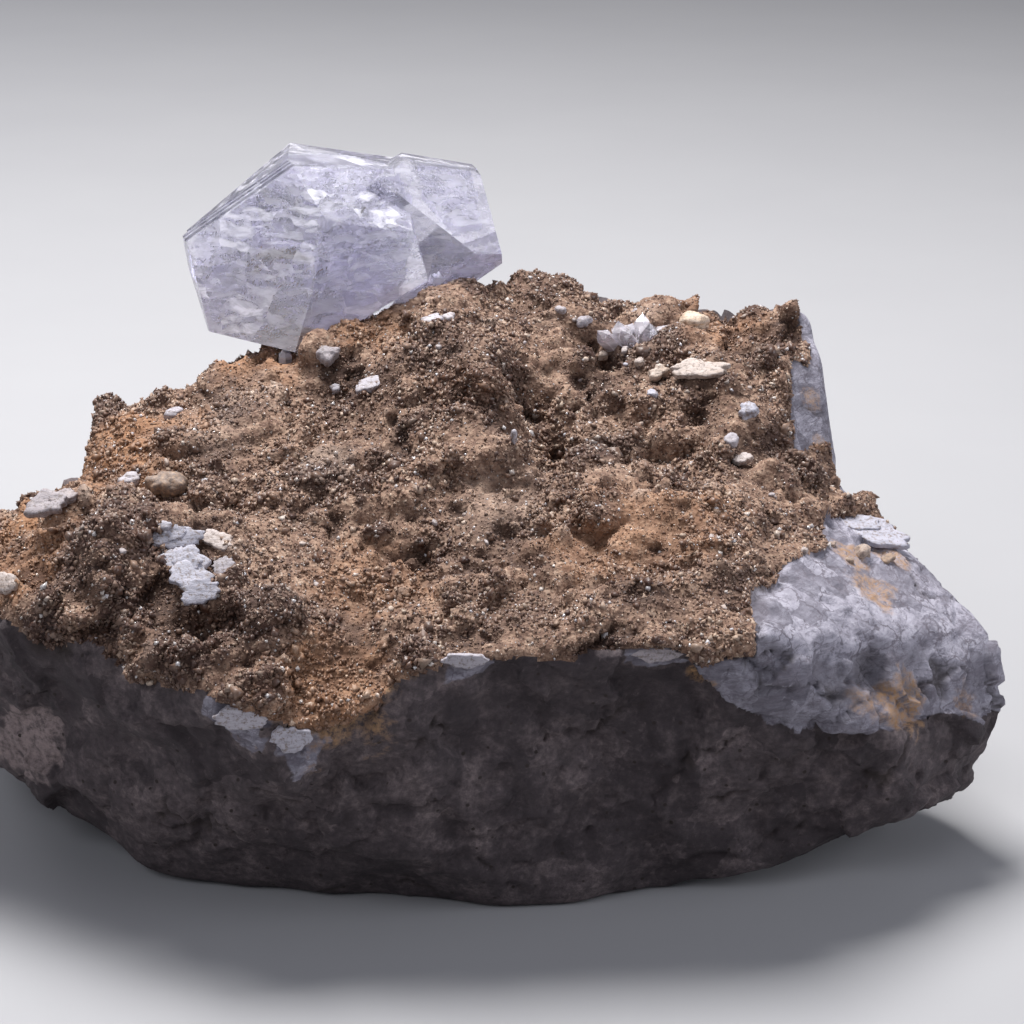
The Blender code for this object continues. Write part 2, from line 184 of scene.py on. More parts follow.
OCHRE_SPOTS = (
    (-33.4, 5.9, 37.5, 9.0, 1.0),
    (-45.0, 3.0, 33.0, 9.0, 1.0),
    (-42.0, -10.0, 33.0, 6.0, 0.8),
    (-20.0, 19.0, 42.0, 6.0, 0.9),
    (-10.0, 21.0, 46.0, 5.0, 0.7),
    (-11.4, -27.2, 26.5, 7.0, 0.8),
    (20.0, -8.0, 35.0, 9.0, 0.55),
    (14.0, -13.0, 34.0, 7.0, 0.5),
    (-8.0, -16.0, 33.0, 7.0, 0.5),
    (28.0, 27.0, 44.0, 6.0, 0.6),
    (1.0, 8.0, 43.0, 4.0, 0.6),
    (38.9, -4.2, 30.5, 2.4, 1.0),
    (43.4, -0.1, 28.9, 2.4, 0.8),
    (40.5, -8.3, 28.9, 3.4, 0.9),
    (43.2, -16.7, 20.8, 3.6, 1.0),
    (38.0, -19.0, 21.5, 2.6, 0.7),
    (49.9, -10.3, 18.0, 2.4, 0.6),
    (22.9, -24.4, 26.2, 1.4, 1.0),
    (37.2, 18.0, 40.0, 1.6, 0.7),
    (37.4, 16.0, 36.0, 1.4, 0.6),
)
PALE_SPOTS = (
    (-26.0, 6.0, 39.6, 6.0, 0.3),
    (-12.7, -0.9, 39.0, 3.2, 0.7),
    (-22.0, 13.0, 41.0, 5.0, 0.25),
    (19.8, 22.5, 46.0, 3.5, 0.6),
    (5.0, -6.0, 38.0, 6.0, 0.35),
    (14.0, 6.0, 37.5, 6.0, 0.25),
    (-44.0, 2.0, 33.0, 3.0, 0.8),
)
FRESH_SPOTS = (
    (-18.6, -29.8, 24.4, 3.0, 0.9),
    (-14.0, -29.9, 22.3, 2.8, 0.9),
    (-21.5, -29.0, 26.0, 2.0, 0.8),
    (1.0, -28.4, 29.6, 2.6, 0.8),
    (18.6, -25.7, 29.4, 3.0, 0.8),
)
PINK_SPOTS = (
    (-42.1, -11.7, 13.8, 5.0, 0.9),
    (-46.5, -9.5, 12.0, 5.0, 0.8),
    (-18.5, -30.3, 24.0, 3.4, 0.5),
    (-0.3, -27.2, 28.6, 2.4, 0.5),
    (18.6, -26.0, 28.6, 3.4, 0.5),
    (33.0, -18.0, 8.5, 3.0, 0.3),
)


# Clumps of the crust from large to small: size, height, share that stand up, width in sizes
CLUMPS = (
    (5.2, 2.0, 0.36, 0.60),
    (2.9, 1.35, 0.48, 0.48),
    (1.6, 0.75, 0.50, 0.46),
)

# Shell-like chips of the broken faces: size, depth, and how much of it fresh breaks keep
SHELLS = (
    (12.0, 1.5, 0.6),
    (5.5, 0.6, 0.5),
    (2.6, 0.18, 0.2),
)

# How much the stone's fine skin is evened out, and the directions in which it then rises
SKIN_PASSES = 14
CALM_PASSES = 12

# Fixes the way the facets lean, which would otherwise change from run to run
FACET_SEED = 5

# Turns a scattered seed's place into its own value
SEED_MARK = (12.9898, 78.233, 37.719)
SEED_SCRAMBLE = 43.7


def smooth_step(low, high, value):
    part = np.clip((value - low) / (high - low), 0.0, 1.0)
    return part * part * (3.0 - 2.0 * part)


def unit(vectors):
    return vectors / np.maximum(np.linalg.norm(vectors, axis=-1, keepdims=True), 1e-12)


def noise_at(points, size, salt=0.0):
    """Smooth noise from about -1 to 1, with lumps of about the given size in mm."""
    return np.array([noise.noise(Vector(spot)) for spot in (points / size + salt).tolist()])


def cells_at(points, size, salt=0.0):
    """The gap to the nearest of scattered seeds, in sizes, and that seed's own value from 0 to 1."""
    found = np.empty((len(points), 2))
    for row, spot in enumerate((points / size + salt).tolist()):
        gaps, seeds = noise.voronoi(spot)
        mark = seeds[0].x * SEED_MARK[0] + seeds[0].y * SEED_MARK[1] + seeds[0].z * SEED_MARK[2]
        found[row] = (gaps[0], (mark * SEED_SCRAMBLE) % 1.0)
    return found.T


def spots_at(points, spots, ragged):
    """How strongly each point lies in a list of round patches, with ragged edges."""
    strength = np.zeros(len(points))
    for x, y, z, reach, most in spots:
        away = np.linalg.norm(points - (x, y, z), axis=1) / reach + ragged
        strength = np.maximum(strength, most * smooth_step(1.15, 0.55, away))
    return strength


def mesh_of(name, points, faces):
    """A mesh from points in the block's millimetres and faces that all have as many corners."""
    made = bpy.data.meshes.new(name)
    made.vertices.add(len(points))
    made.vertices.foreach_set("co", (points * MM + BLOCK_ORIGIN).astype(np.float32).ravel())
    made.loops.add(faces.size)
    made.loops.foreach_set("vertex_index", faces.astype(np.int32).ravel())
    made.polygons.add(len(faces))
    made.polygons.foreach_set("loop_start", np.arange(0, faces.size, faces.shape[1], dtype=np.int32))
    made.update(calc_edges=True)
    made.validate()
    return made


def give_values(mesh_data, name, values):
    """Store one number for each point, for the material to read."""
    layer = mesh_data.attributes.new(name, "FLOAT", "POINT")
    layer.data.foreach_set("value", np.asarray(values, dtype=np.float32))


def read_values(mesh_data, name):
    values = np.empty(len(mesh_data.vertices), dtype=np.float32)
    mesh_data.attributes[name].data.foreach_get("value", values)
    return values


def read_points(mesh_data):
    points = np.empty(len(mesh_data.vertices) * 3, dtype=np.float32)
    mesh_data.vertices.foreach_get("co", points)
    return (points.reshape(-1, 3).astype(float) - BLOCK_ORIGIN) / MM


def read_quads(mesh_data):
    corners = np.empty(len(mesh_data.loops), dtype=np.int32)
    mesh_data.loops.foreach_get("vertex_index", corners)
    return corners.reshape(-1, 4)


def loose_object(name, content):
    """An object in the scene around a mesh, a lamp or a camera."""
    made = bpy.data.objects.new(name, content)
    bpy.context.scene.collection.objects.link(made)
    return made


def add_piece(name, mesh_data, look, replaced=None):
    """Put a mesh in the scene as a piece of the object, on its only body."""
    made = loose_object(name, mesh_data)
    mesh_data.materials.clear()
    mesh_data.materials.append(look)
    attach(made, "root")
    if replaced:
        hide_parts(replaced)


def baked(thing):
    """The mesh of an object with its modifiers applied; the object goes."""
    graph = bpy.context.evaluated_depsgraph_get()
    made = bpy.data.meshes.new_from_object(thing.evaluated_get(graph))
    bpy.data.objects.remove(thing, do_unlink=True)
    return made


# Materials


# Where the Mix node keeps its colour sockets
MIX_FIRST_COLOUR, MIX_SECOND_COLOUR, MIX_RESULT_COLOUR = 6, 7, 2

CLEAR_GREY = (0.60, 0.57, 0.56)
CLEAR_WHITE = (0.80, 0.79, 0.84)
SPECK_BLACK = (0.010, 0.009, 0.010)
SPECK_BROWN = (0.045, 0.035, 0.030)
FLOOR_CLOUD = (0.5, 0.5, 0.5)

# Refraction of quartz grains, and of thin sheets that sit inside quartz and bend nothing more
GRAIN_IOR = 1.54
INSIDE_IOR = 1.0


class Look:
    """A node material under construction, with short calls for the nodes it uses."""

    def __init__(self, name):
        self.made = bpy.data.materials.new(name)
        self.made.use_nodes = True
        self.nodes = self.made.node_tree.nodes
        self.links = self.made.node_tree.links
        self.shader = self.nodes["Principled BSDF"]
        self.place = self.nodes.new("ShaderNodeTexCoord").outputs["Object"]

    def link(self, value, socket):
        if isinstance(value, bpy.types.NodeSocket):
            self.links.new(value, socket)
        else:
            socket.default_value = value

    def set(self, **values):
        """Give or link the shader's sockets, with _ for the spaces in their names."""
        for name, value in values.items():
            self.link(value, self.shader.inputs[name.replace("_", " ")])

    def set_same(self, **values):
        """Set sockets to what is the same all over the surface."""
        for name, value in values.items():
            self.shader.inputs[name.replace("_", " ")].default_value = value

    def values(self, name):
        """The number stored at each point under the given name."""
        node = self.nodes.new("ShaderNodeAttribute")
        node.attribute_name = name
        return node.outputs["Fac"]

    def noise(self, size, detail=3.0, rough=0.55, place=None, distortion=0.0, output="Fac"):
        """Noise from 0 to 1 with features of about the given size in mm."""
        node = self.nodes.new("ShaderNodeTexNoise")
        self.link(self.place if place is None else place, node.inputs["Vector"])
        node.inputs["Scale"].default_value = 1.0 / (size * MM)
        node.inputs["Detail"].default_value = detail
        node.inputs["Roughness"].default_value = rough
        node.inputs["Distortion"].default_value = distortion
        return node.outputs[output]

    def cells(self, size, output="Distance", feature="F1", place=None):
        node = self.nodes.new("ShaderNodeTexVoronoi")
        node.feature = feature
        self.link(self.place if place is None else place, node.inputs["Vector"])
        node.inputs["Scale"].default_value = 1.0 / (size * MM)
        return node.outputs[output]

    def shifted(self, by, amount):
        """Object coordinates moved by a colour or a vector, by the given amount in mm."""
        node = self.nodes.new("ShaderNodeVectorMath")
        node.operation = "MULTIPLY_ADD"
        self.link(by, node.inputs[0])
        node.inputs[1].default_value = (amount * MM,) * 3
        self.link(self.place, node.inputs[2])
        return node.outputs["Vector"]

    def height(self, low, high, to_low, to_high):
        """Spread the height in mm over a range of values."""
        node = self.nodes.new("ShaderNodeSeparateXYZ")
        self.link(self.place, node.inputs[0])
        return self.between(node.outputs["Z"], low * MM, high * MM, to_low, to_high)

    def stretched(self, turn, scale, place=None):
        """Object coordinates turned and stretched, for grain that runs one way."""
        node = self.nodes.new("ShaderNodeMapping")
        self.link(self.place if place is None else place, node.inputs["Vector"])
        node.inputs["Rotation"].default_value = turn
        node.inputs["Scale"].default_value = scale
        return node.outputs["Vector"]

    def maths(self, how, first, second=0.0, third=0.0):
        node = self.nodes.new("ShaderNodeMath")
        node.operation = how
        for value, socket in zip((first, second, third), node.inputs):
            self.link(value, socket)
        return node.outputs[0]

    def between(self, value, low, high, to_low=0.0, to_high=1.0):
        """Spread a value from one range to another, held at the ends."""
        node = self.nodes.new("ShaderNodeMapRange")
        for given, socket in zip((value, low, high, to_low, to_high), node.inputs):
            self.link(given, socket)
        return node.outputs[0]

    def mix(self, share, first, second, how="MIX"):
        node = self.nodes.new("ShaderNodeMix")
        node.data_type = "RGBA"
        node.blend_type = how
        self.link(share, node.inputs["Factor"])
        self.link(opaque(first), node.inputs[MIX_FIRST_COLOUR])
        self.link(opaque(second), node.inputs[MIX_SECOND_COLOUR])
        return node.outputs[MIX_RESULT_COLOUR]

    def ramp(self, value, stops):
        node = self.nodes.new("ShaderNodeValToRGB")
        self.link(value, node.inputs["Fac"])
        marks = node.color_ramp.elements
        while len(marks) < len(stops):
            marks.new(0.5)
        for mark, (where, colour) in zip(marks, stops):
            mark.position = where
            mark.color = opaque(colour)
        return node.outputs["Color"]

    def bump(self, height, strength, distance, under=None):
        node = self.nodes.new("ShaderNodeBump")
        node.inputs["Strength"].default_value = strength
        node.inputs["Distance"].default_value = distance * MM
        self.link(height, node.inputs["Height"])
        if under is not None:
            self.link(under, node.inputs["Normal"])
        return node.outputs["Normal"]


def opaque(colour):
    if isinstance(colour, bpy.types.NodeSocket):
        return colour
    return (*tuple(colour)[:3], 1.0)


def crust_look(crust):
    """Sandy brown crust between and under the grains, with painted shade in its hollows."""
    look = Look("sandy crust")
    tone = look.noise(0.9, detail=5.0, rough=0.75)
    colour = look.ramp(tone, ((0.30, crust.brown), (0.44, crust.brown_light), (0.58, crust.tan),
                              (0.72, crust.cream)))
    colour = look.mix(look.values("ochre"), colour, look.mix(0.55, colour, crust.ochre))
    colour = look.mix(look.values("pale"), colour, look.mix(0.6, colour, crust.grey))
    colour = look.mix(look.values("dark"), colour, crust.brown)
    # Painted shade: the hollows' colour is multiplied darker by the shade setting.
    colour = look.mix(look.values("hollow"), colour, look.mix(1.0, colour, crust.shade, "MULTIPLY"))
    grain = look.cells(0.42)
    rough = look.bump(look.noise(0.35, detail=4.0), 0.8, 0.12)
    look.set(Base_Color=colour, Roughness=look.between(tone, 0.3, 0.7, 0.75, 0.95),
             Normal=look.bump(grain, 0.7, 0.18, under=rough))
    return look.made


def grain_look(name, crust, gloss):
    """Small crystals on the crust, each with its own tone."""
    look = Look(name)
    tone = look.values("tone")
    colour = look.ramp(tone, ((0.0, crust.brown), (0.30, crust.brown_light), (0.58, crust.tan),
                              (0.84, crust.cream), (1.0, crust.bright)))
    colour = look.mix(look.values("ochre"), colour, look.mix(0.55, colour, crust.ochre))
    colour = look.mix(look.values("pale"), colour, look.mix(0.6, colour, crust.grey))
    colour = look.mix(look.values("dark"), colour, look.mix(0.8, colour, crust.brown))
    blotch = look.noise(0.6, detail=3.0)
    colour = look.mix(look.between(blotch, 0.35, 0.65), look.mix(0.45, colour, crust.brown), colour)
    look.set(Base_Color=colour, Roughness=look.between(blotch, 0.3, 0.7, gloss, gloss + 0.3),
             Normal=look.bump(look.noise(0.12), 0.3, 0.03))
    look.set_same(Specular_IOR_Level=0.6)
    return look.made


def sparkle_look(crust):
    """Tiny clear and milky crystals that catch the light."""
    look = Look("bright grains")
    tone = look.values("tone")
    colour = look.ramp(tone, ((0.0, crust.cream), (0.4, CLEAR_GREY), (1.0, CLEAR_WHITE)))
    cloud = look.noise(0.3)
    sandy = look.mix(0.4, colour, crust.tan)
    look.set(Base_Color=look.mix(look.between(cloud, 0.4, 0.7), colour, sandy),
             Roughness=look.between(cloud, 0.3, 0.7, 0.08, 0.3))
    look.set_same(IOR=GRAIN_IOR, Transmission_Weight=0.25, Specular_IOR_Level=0.8)
    return look.made


def weathered(look, stone, mottle, speck):
    """The walls' dark, purplish weathered tones, with pink scallops and pits."""
    dull = look.ramp(mottle, ((0.34, stone.wall_dark), (0.50, stone.wall), (0.68, stone.wall_light)))
    planes = look.cells(9.0, "Color", place=look.shifted(look.noise(4.0, output="Color"), 6.0))
    dull = look.mix(look.between(planes, 0.50, 0.75, 0.0, 0.22), dull, stone.wall_light)
    dull = look.mix(look.between(planes, 0.50, 0.25, 0.0, 0.5), dull, stone.wall_dark)
    dull = look.mix(look.between(speck, 0.40, 0.60), look.mix(0.65, dull, stone.wall_dark), dull)
    dull = look.mix(look.between(speck, 0.62, 0.74), dull, look.mix(0.6, dull, stone.wall_light))
    pink = look.maths("MULTIPLY", look.values("pink"), look.between(mottle, 0.35, 0.60, 0.6, 1.0))
    pinkish = look.mix(look.between(speck, 0.3, 0.6), dull, stone.pink)
    dull = look.mix(look.between(pink, 0.25, 0.60), dull, pinkish)
    return look.mix(look.between(look.cells(1.9), 0.13, 0.08), dull, stone.crack)


def freshly_broken(look, stone, mottle, speck, smear, streaks):
    """The chalky tones of fresh breaks: small flats, crackle and thin swirling lines, and painted shade
    on their front faces.
    """
    clean = look.ramp(smear, ((0.34, stone.fresh_grey), (0.46, stone.fresh), (0.62, stone.fresh_white)))
    flats = look.cells(3.2, "Color", place=look.shifted(look.noise(2.0, output="Color"), 2.6))
    clean = look.mix(look.between(flats, 0.50, 0.66, 0.0, 0.50), clean, stone.fresh_white)
    clean = look.mix(look.between(flats, 0.50, 0.34, 0.0, 0.45), clean, stone.fresh_grey)
    wavy = look.shifted(look.noise(1.5, output="Color"), 2.4)
    seams = look.between(look.cells(2.6, feature="DISTANCE_TO_EDGE", place=wavy), 0.0, 0.06, 0.95, 0.0)
    crackle = look.maths("MULTIPLY", seams, look.between(mottle, 0.44, 0.52))
    clean = look.mix(crackle, clean, stone.fresh_line)
    clean = look.mix(look.between(speck, 0.32, 0.52, 0.7, 0.0), clean, stone.fresh_grey)
    swirl = look.noise(5.0, detail=6.0, place=streaks, distortion=1.6)
    line = look.maths("ABSOLUTE", look.maths("SUBTRACT", swirl, 0.5))
    clean = look.mix(look.between(line, 0.0, 0.012, 0.75, 0.0), clean, stone.fresh_line)
    # Painted shade: where fresh is below 1, mostly on front faces of the breaks, the colour is pulled
    # towards a darker shade tone.
    shaded = look.between(look.values("fresh"), 0.78, 1.0, 0.45, 0.0)
    shade = look.mix(look.between(smear, 0.40, 0.55), stone.fresh_line, stone.fresh_grey)
    return look.mix(shaded, clean, shade)


def wall_look(stone):
    """Broken dolostone: fine, dark and purplish where weathered, chalky where fresh."""
    look = Look("broken dolostone")
    mottle = look.noise(4.0, detail=8.0, rough=0.72)
    speck = look.noise(0.7, detail=5.0, rough=0.75)
    streaks = look.stretched((0.3, 0.5, 0.2), (0.7, 0.5, 2.4))
    smear = look.noise(1.8, detail=8.0, rough=0.72, place=streaks, distortion=0.8)
    fresh = look.maths("ADD", look.values("fresh"), look.between(mottle, 0.35, 0.65, -0.15, 0.15))
    colour = look.mix(look.between(fresh, 0.40, 0.60), weathered(look, stone, mottle, speck),
                      freshly_broken(look, stone, mottle, speck, smear, streaks))
    stain = look.maths("MULTIPLY", look.values("ochre"), look.between(speck, 0.35, 0.6))
    colour = look.mix(look.between(stain, 0.1, 0.9, 0.0, 0.85), colour, stone.stain)
    # Dark spots and cracks take the crack colour; in the right end's recesses this is painted shade.
    colour = look.mix(look.values("dark"), colour, stone.crack)
    fine = look.bump(speck, 0.8, 0.16, under=look.bump(smear, 0.5, 0.30))
    grain = look.bump(look.noise(0.22, detail=3.0), 0.35, 0.05, under=fine)
    look.set(Base_Color=colour, Roughness=look.between(speck, 0.3, 0.7, 0.78, 0.95), Normal=grain)
    look.set_same(Specular_IOR_Level=0.35)
    return look.made


def quartz_look(name, quartz, density):
    """Clear quartz: plain transmission, its own IOR and a faint lavender absorption."""
    look = Look(name)
    cloud = look.noise(3.2, detail=5.0, rough=0.65, distortion=0.8)
    growth = look.noise(0.8, detail=3.0, place=look.stretched((0.0, 0.6, 0.5), (0.25, 1.0, 3.0)))
    wavy = look.shifted(look.noise(3.0, output="Color"), 3.0)
    planes = look.cells(6.0, "Color", place=wavy)
    splinters = look.stretched((0.2, 0.9, 0.5), (0.5, 1.0, 2.2), look.shifted(planes, 40.0))
    feather = look.noise(2.2, detail=9.0, rough=0.66, place=splinters, distortion=0.5)
    haze = look.maths("MULTIPLY", look.between(feather, 0.44, 0.62),
                      look.between(planes, 0.35, 0.65, 0.35, 1.0))
    haze = look.maths("MULTIPLY", haze, look.height(45.0, 57.0, 0.75, 1.0))
    seam = look.between(look.cells(6.0, feature="DISTANCE_TO_EDGE", place=wavy), 0.0, 0.014, 0.6, 0.0)
    seam = look.maths("MULTIPLY", seam, look.between(cloud, 0.45, 0.60))
    haze = look.maths("ADD", look.maths("MAXIMUM", haze, seam), look.height(46.0, 56.0, 0.42, 0.24))
    look.set(Base_Color=look.mix(look.height(46.0, 55.0, 0.0, 1.0), quartz.tint_low, quartz.tint),
             Transmission_Weight=look.maths("MULTIPLY_ADD", haze, -quartz.milk, 1.0),
             Roughness=look.between(cloud, 0.40, 0.75, 0.02, 0.14),
             Normal=look.bump(growth, 0.10, 0.12))
    look.set_same(IOR=quartz.ior)
    inside = look.nodes.new("ShaderNodeVolumeAbsorption")
    inside.inputs["Color"].default_value = opaque(quartz.inside)
    inside.inputs["Density"].default_value = density
    look.links.new(inside.outputs["Volume"], look.nodes["Material Output"].inputs["Volume"])
    return look.made


def flake_look(quartz):
    """Bright flakes of healed cracks inside the crystal, rusty where water came in."""
    look = Look("healed cracks")
    tone = look.values("tone")
    colour = look.mix(look.between(tone, 0.0, 1.0), quartz.veil_dim, quartz.veil)
    colour = look.mix(look.values("rust"), colour, quartz.rust)
    look.set(Base_Color=colour, Roughness=look.between(look.noise(0.4), 0.3, 0.7, 0.15, 0.45))
    look.set_same(IOR=INSIDE_IOR, Transmission_Weight=0.35, Specular_IOR_Level=0.8)
    return look.made


def veil_look(quartz):
    """Milky veils: thin sheets that pass most light, with feathery streaks that send it back."""
    look = Look("milky veils")
    streaks = look.stretched((0.2, 0.9, 0.5), (0.30, 1.0, 2.8))
    feather = look.noise(1.1, detail=9.0, rough=0.78, place=streaks, distortion=1.2)
    cloud = look.noise(2.6, detail=4.0)
    body = look.maths("ADD", feather, look.between(cloud, 0.3, 0.7, -0.14, 0.14))
    body = look.maths("ADD", body, look.between(look.values("body"), 0.0, 1.0, -0.22, 0.06))
    colour = look.mix(look.between(feather, 0.40, 0.60), quartz.veil_dim, quartz.veil)
    colour = look.mix(look.values("rust"), colour, quartz.rust)
    look.set(Base_Color=colour, Transmission_Weight=look.between(body, 0.44, 0.66, 0.98, 0.15),
             Roughness=look.between(feather, 0.3, 0.7, 0.25, 0.45))
    look.set_same(IOR=INSIDE_IOR, Specular_IOR_Level=0.2)
    return look.made


def speck_look():
    look = Look("black inclusions")
    tone = look.noise(0.2)
    look.set(Base_Color=look.ramp(tone, ((0.3, SPECK_BLACK), (0.7, SPECK_BROWN))),
             Roughness=look.between(tone, 0.3, 0.7, 0.35, 0.6))
    return look.made


def chalk_look(stone):
    """Layered bluish-white flakes, cream chips and nodules lying on the crust."""
    look = Look("chalky chips")
    flat = look.stretched((0.4, 0.2, 0.0), (0.8, 0.8, 4.0))
    layers = look.noise(0.9, detail=6.0, rough=0.65, place=flat)
    speck = look.noise(0.35, detail=4.0, rough=0.7)
    colour = look.ramp(layers, ((0.34, stone.flake_shade), (0.50, stone.flake),
                                (0.66, stone.fresh_white)))
    cream = look.mix(look.between(layers, 0.3, 0.7), stone.flake_cream, stone.flake_pale)
    colour = look.mix(look.values("cream"), colour, cream)
    brown = look.mix(look.between(speck, 0.3, 0.7), stone.crack, stone.stain)
    colour = look.mix(look.values("brown"), colour, brown)
    colour = look.mix(look.between(speck, 0.50, 0.36, 0.0, 0.85), colour, stone.flake_dirt)
    look.set(Base_Color=colour, Roughness=look.between(layers, 0.3, 0.7, 0.45, 0.8),
             Normal=look.bump(speck, 0.4, 0.08, under=look.bump(layers, 0.6, 0.15)))
    return look.made


# Stone


def point_normals(points, quads):
    first, second, third, fourth = (points[quads[:, corner]] for corner in range(4))
    looks = np.cross(third - first, fourth - second)
    total = np.zeros_like(points)
    for corner in range(4):
        for axis in range(3):
            total[:, axis] += np.bincount(quads[:, corner], looks[:, axis], len(points))
    return unit(total)


def relaxed(points, quads, passes, amount=0.5):
    """Draw each point towards its neighbours, to take the solid's flat triangles away."""
    starts = quads.ravel()
    ends = np.roll(quads, -1, axis=1).ravel()
    count = np.bincount(starts, minlength=len(points)) + np.bincount(ends, minlength=len(points))
    for _ in range(passes):
        total = np.empty_like(points)
        for axis in range(3):
            along = points[:, axis]
            total[:, axis] = (np.bincount(starts, along[ends], len(points))
                              + np.bincount(ends, along[starts], len(points)))
        points = points + amount * (total / count[:, None] - points)
    return points


def fine_stone(step):
    """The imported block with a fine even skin, as points and quads."""
    copy = loose_object("fine_stone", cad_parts["matrix"].data.copy())
    skin = copy.modifiers.new("skin", "REMESH")
    skin.mode = "VOXEL"
    skin.voxel_size = step
    mesh_data = baked(copy)
    points, quads = read_points(mesh_data), read_quads(mesh_data)
    bpy.data.meshes.remove(mesh_data)
    return relaxed(points, quads, SKIN_PASSES), quads


def broken_share(points, normals):
    """1 on the block's broken faces and 0 on its crust."""
    share = np.zeros(len(points))
    height, right = points[:, 2], smooth_step(NOTCH_STARTS_X - 0.5, NOTCH_STARTS_X + 0.5, points[:, 0])
    for row, (middle, outward) in enumerate(BROKEN_FACES):
        outward = unit(np.array(outward))
        away = np.abs((points - middle) @ outward)
        near = smooth_step(6.0, 3.5, away) * smooth_step(0.30, 0.55, normals @ outward)
        if row >= len(BROKEN_FACES) - NOTCH_FACES:
            low_and_flat = smooth_step(36.5, 35.0, height) * smooth_step(0.25, 0.45, normals[:, 2])
            near = near * right * (1.0 - low_and_flat)
        share = np.maximum(share, near)
    edge = np.interp(points[:, 0], CRUST_EDGE_X, CRUST_EDGE_Z)
    edge += 1.5 * noise_at(points, 5.0, 6.0) + 0.5 * noise_at(points, 1.5)
    crusted = smooth_step(-0.5, 0.5, height - edge) * smooth_step(*CRUST_EDGE_ENDS_Y, points[:, 1])
    share *= 1.0 - crusted * smooth_step(28.5, 27.0, points[:, 0])
    share = np.maximum(share, smooth_step(FOOT_LEVEL + 3.0, FOOT_LEVEL, height))
    return np.maximum(share, white_share(points, normals))


def white_share(points, normals):
    """1 on the white broken top at the block's right end."""
    edge = np.interp(points[:, 1], WHITE_EDGE_Y, WHITE_EDGE_X)
    edge += 0.9 * noise_at(points, 3.0, 4.0)
    low = smooth_step(35.5, 33.5, points[:, 2]) * smooth_step(0.35, 0.5, normals[:, 2])
    return smooth_step(-0.3, 0.3, points[:, 0] - edge) * low * smooth_step(15.0, 12.0, points[:, 1])


def crust_relief(points, height):
    """Clumps of three sizes, pits between them and sandy roughness; and each clump's own tone."""
    shaken = points + 0.55 * noise_at(points, 1.6)[:, None] + 0.25 * noise_at(points, 0.8, 3.0)[:, None]
    relief = 0.6 * noise_at(points, 7.0)
    tone = 0.22 * noise_at(points, 5.0, 11.0)
    for size, rise, share, wide in CLUMPS:
        near, own = cells_at(shaken, size, 3.0 * size)
        dome = np.sqrt(np.clip(1.0 - (near / wide) ** 2, 0.0, 1.0))
        patchy = smooth_step(-0.25, 0.45, noise_at(points, size * 2.4, 9.0))
        chosen = smooth_step(1.0 - share - 0.15, 1.0 - share + 0.15, own)
        relief += rise * dome * (0.12 + chosen * patchy)
        relief -= rise * 0.9 * smooth_step(0.13, 0.05, own) * dome
        own_tone = (own * 23.7) % 1.0
        tone += (own_tone - 0.42) * dome * chosen * patchy
    relief += 0.24 * noise_at(points, 1.3) + 0.16 * noise_at(points, 0.75)
    return relief * height, np.clip(0.5 + tone, 0.0, 1.0)


def facets_at(points, size, lean, salt):
    """Flat facets that each lean their own way, with sharp edges, and the gap to the next one."""
    noise.seed_set(FACET_SEED)
    rise, edge = np.empty(len(points)), np.empty(len(points))
    for row, spot in enumerate((points / size + salt).tolist()):
        gaps, seeds = noise.voronoi(spot)
        seed = seeds[0]
        tilt = noise.noise_vector(seed * 5.3)
        rise[row] = lean * tilt.dot(Vector(spot) - seed) + 0.5 * noise.cell(seed * 9.1)
        edge[row] = gaps[1] - gaps[0]
    return rise * size, edge


def wall_relief(points, depth, fresh, top):
    """Shell-like chips and small facets in the broken faces, blockier where they are fresh."""
    shaken = points + 0.8 * noise_at(points, 4.0)[:, None]
    relief = np.zeros(len(points))
    for size, rise, on_fresh in SHELLS:
        near, _ = cells_at(shaken, size, 2.0)
        relief += rise * (near - 0.5) * (1.0 - fresh + on_fresh * fresh)
    flats, _ = facets_at(shaken, 8.0, 0.30, 4.0)
    chips, _ = facets_at(shaken, 3.2, 0.22, 5.0)
    relief += (1.0 - fresh) * (0.20 * flats + 0.20 * chips)
    rough = 0.24 * noise_at(points, 2.4) + 0.13 * noise_at(points, 1.2) + 0.08 * noise_at(points, 0.7)
    relief += rough * (1.0 - 0.6 * fresh)
    pitted = smooth_step(-0.2, 0.3, noise_at(points, 8.0, 3.0))
    relief -= 0.5 * smooth_step(0.38, 0.60, noise_at(points, 1.6, 5.0)) * pitted * (1.0 - top)
    crack = np.abs(noise_at(points, 14.0, 7.0) + 0.10 * noise_at(points, 2.0))
    crack = smooth_step(0.022, 0.0, crack) * smooth_step(0.05, 0.25, noise_at(points, 9.0, 12.0))
    relief -= 0.6 * crack
    blocks, edge = facets_at(points * (1.0, 1.0, 1.4), 5.2, 0.42, 6.0)
    small, _ = facets_at(points, 2.4, 0.32, 8.0)
    front = fresh * (1.0 - top) * smooth_step(16.0, 12.0, points[:, 1])
    relief += front * (0.34 * blocks + 0.16 * small)
    plates = noise_at(points * (1.0, 1.0, 0.3), 6.0, 1.0) + 0.15 * noise_at(points, 1.6)
    layered = 0.03 * small + 0.35 * smooth_step(-0.03, 0.03, plates)
    relief += top * (layered + 0.25 * smooth_step(0.25, 0.30, plates))
    gaps = smooth_step(0.06, 0.0, edge) * smooth_step(0.0, 0.3, noise_at(points, 6.0, 2.0))
    relief -= 0.5 * gaps * front
    side = smooth_step(32.5, 35.0, points[:, 2]) * smooth_step(33.0, 35.0, points[:, 0])
    return relief * depth * (1.0 - 0.75 * side), np.maximum(crack, gaps * front)


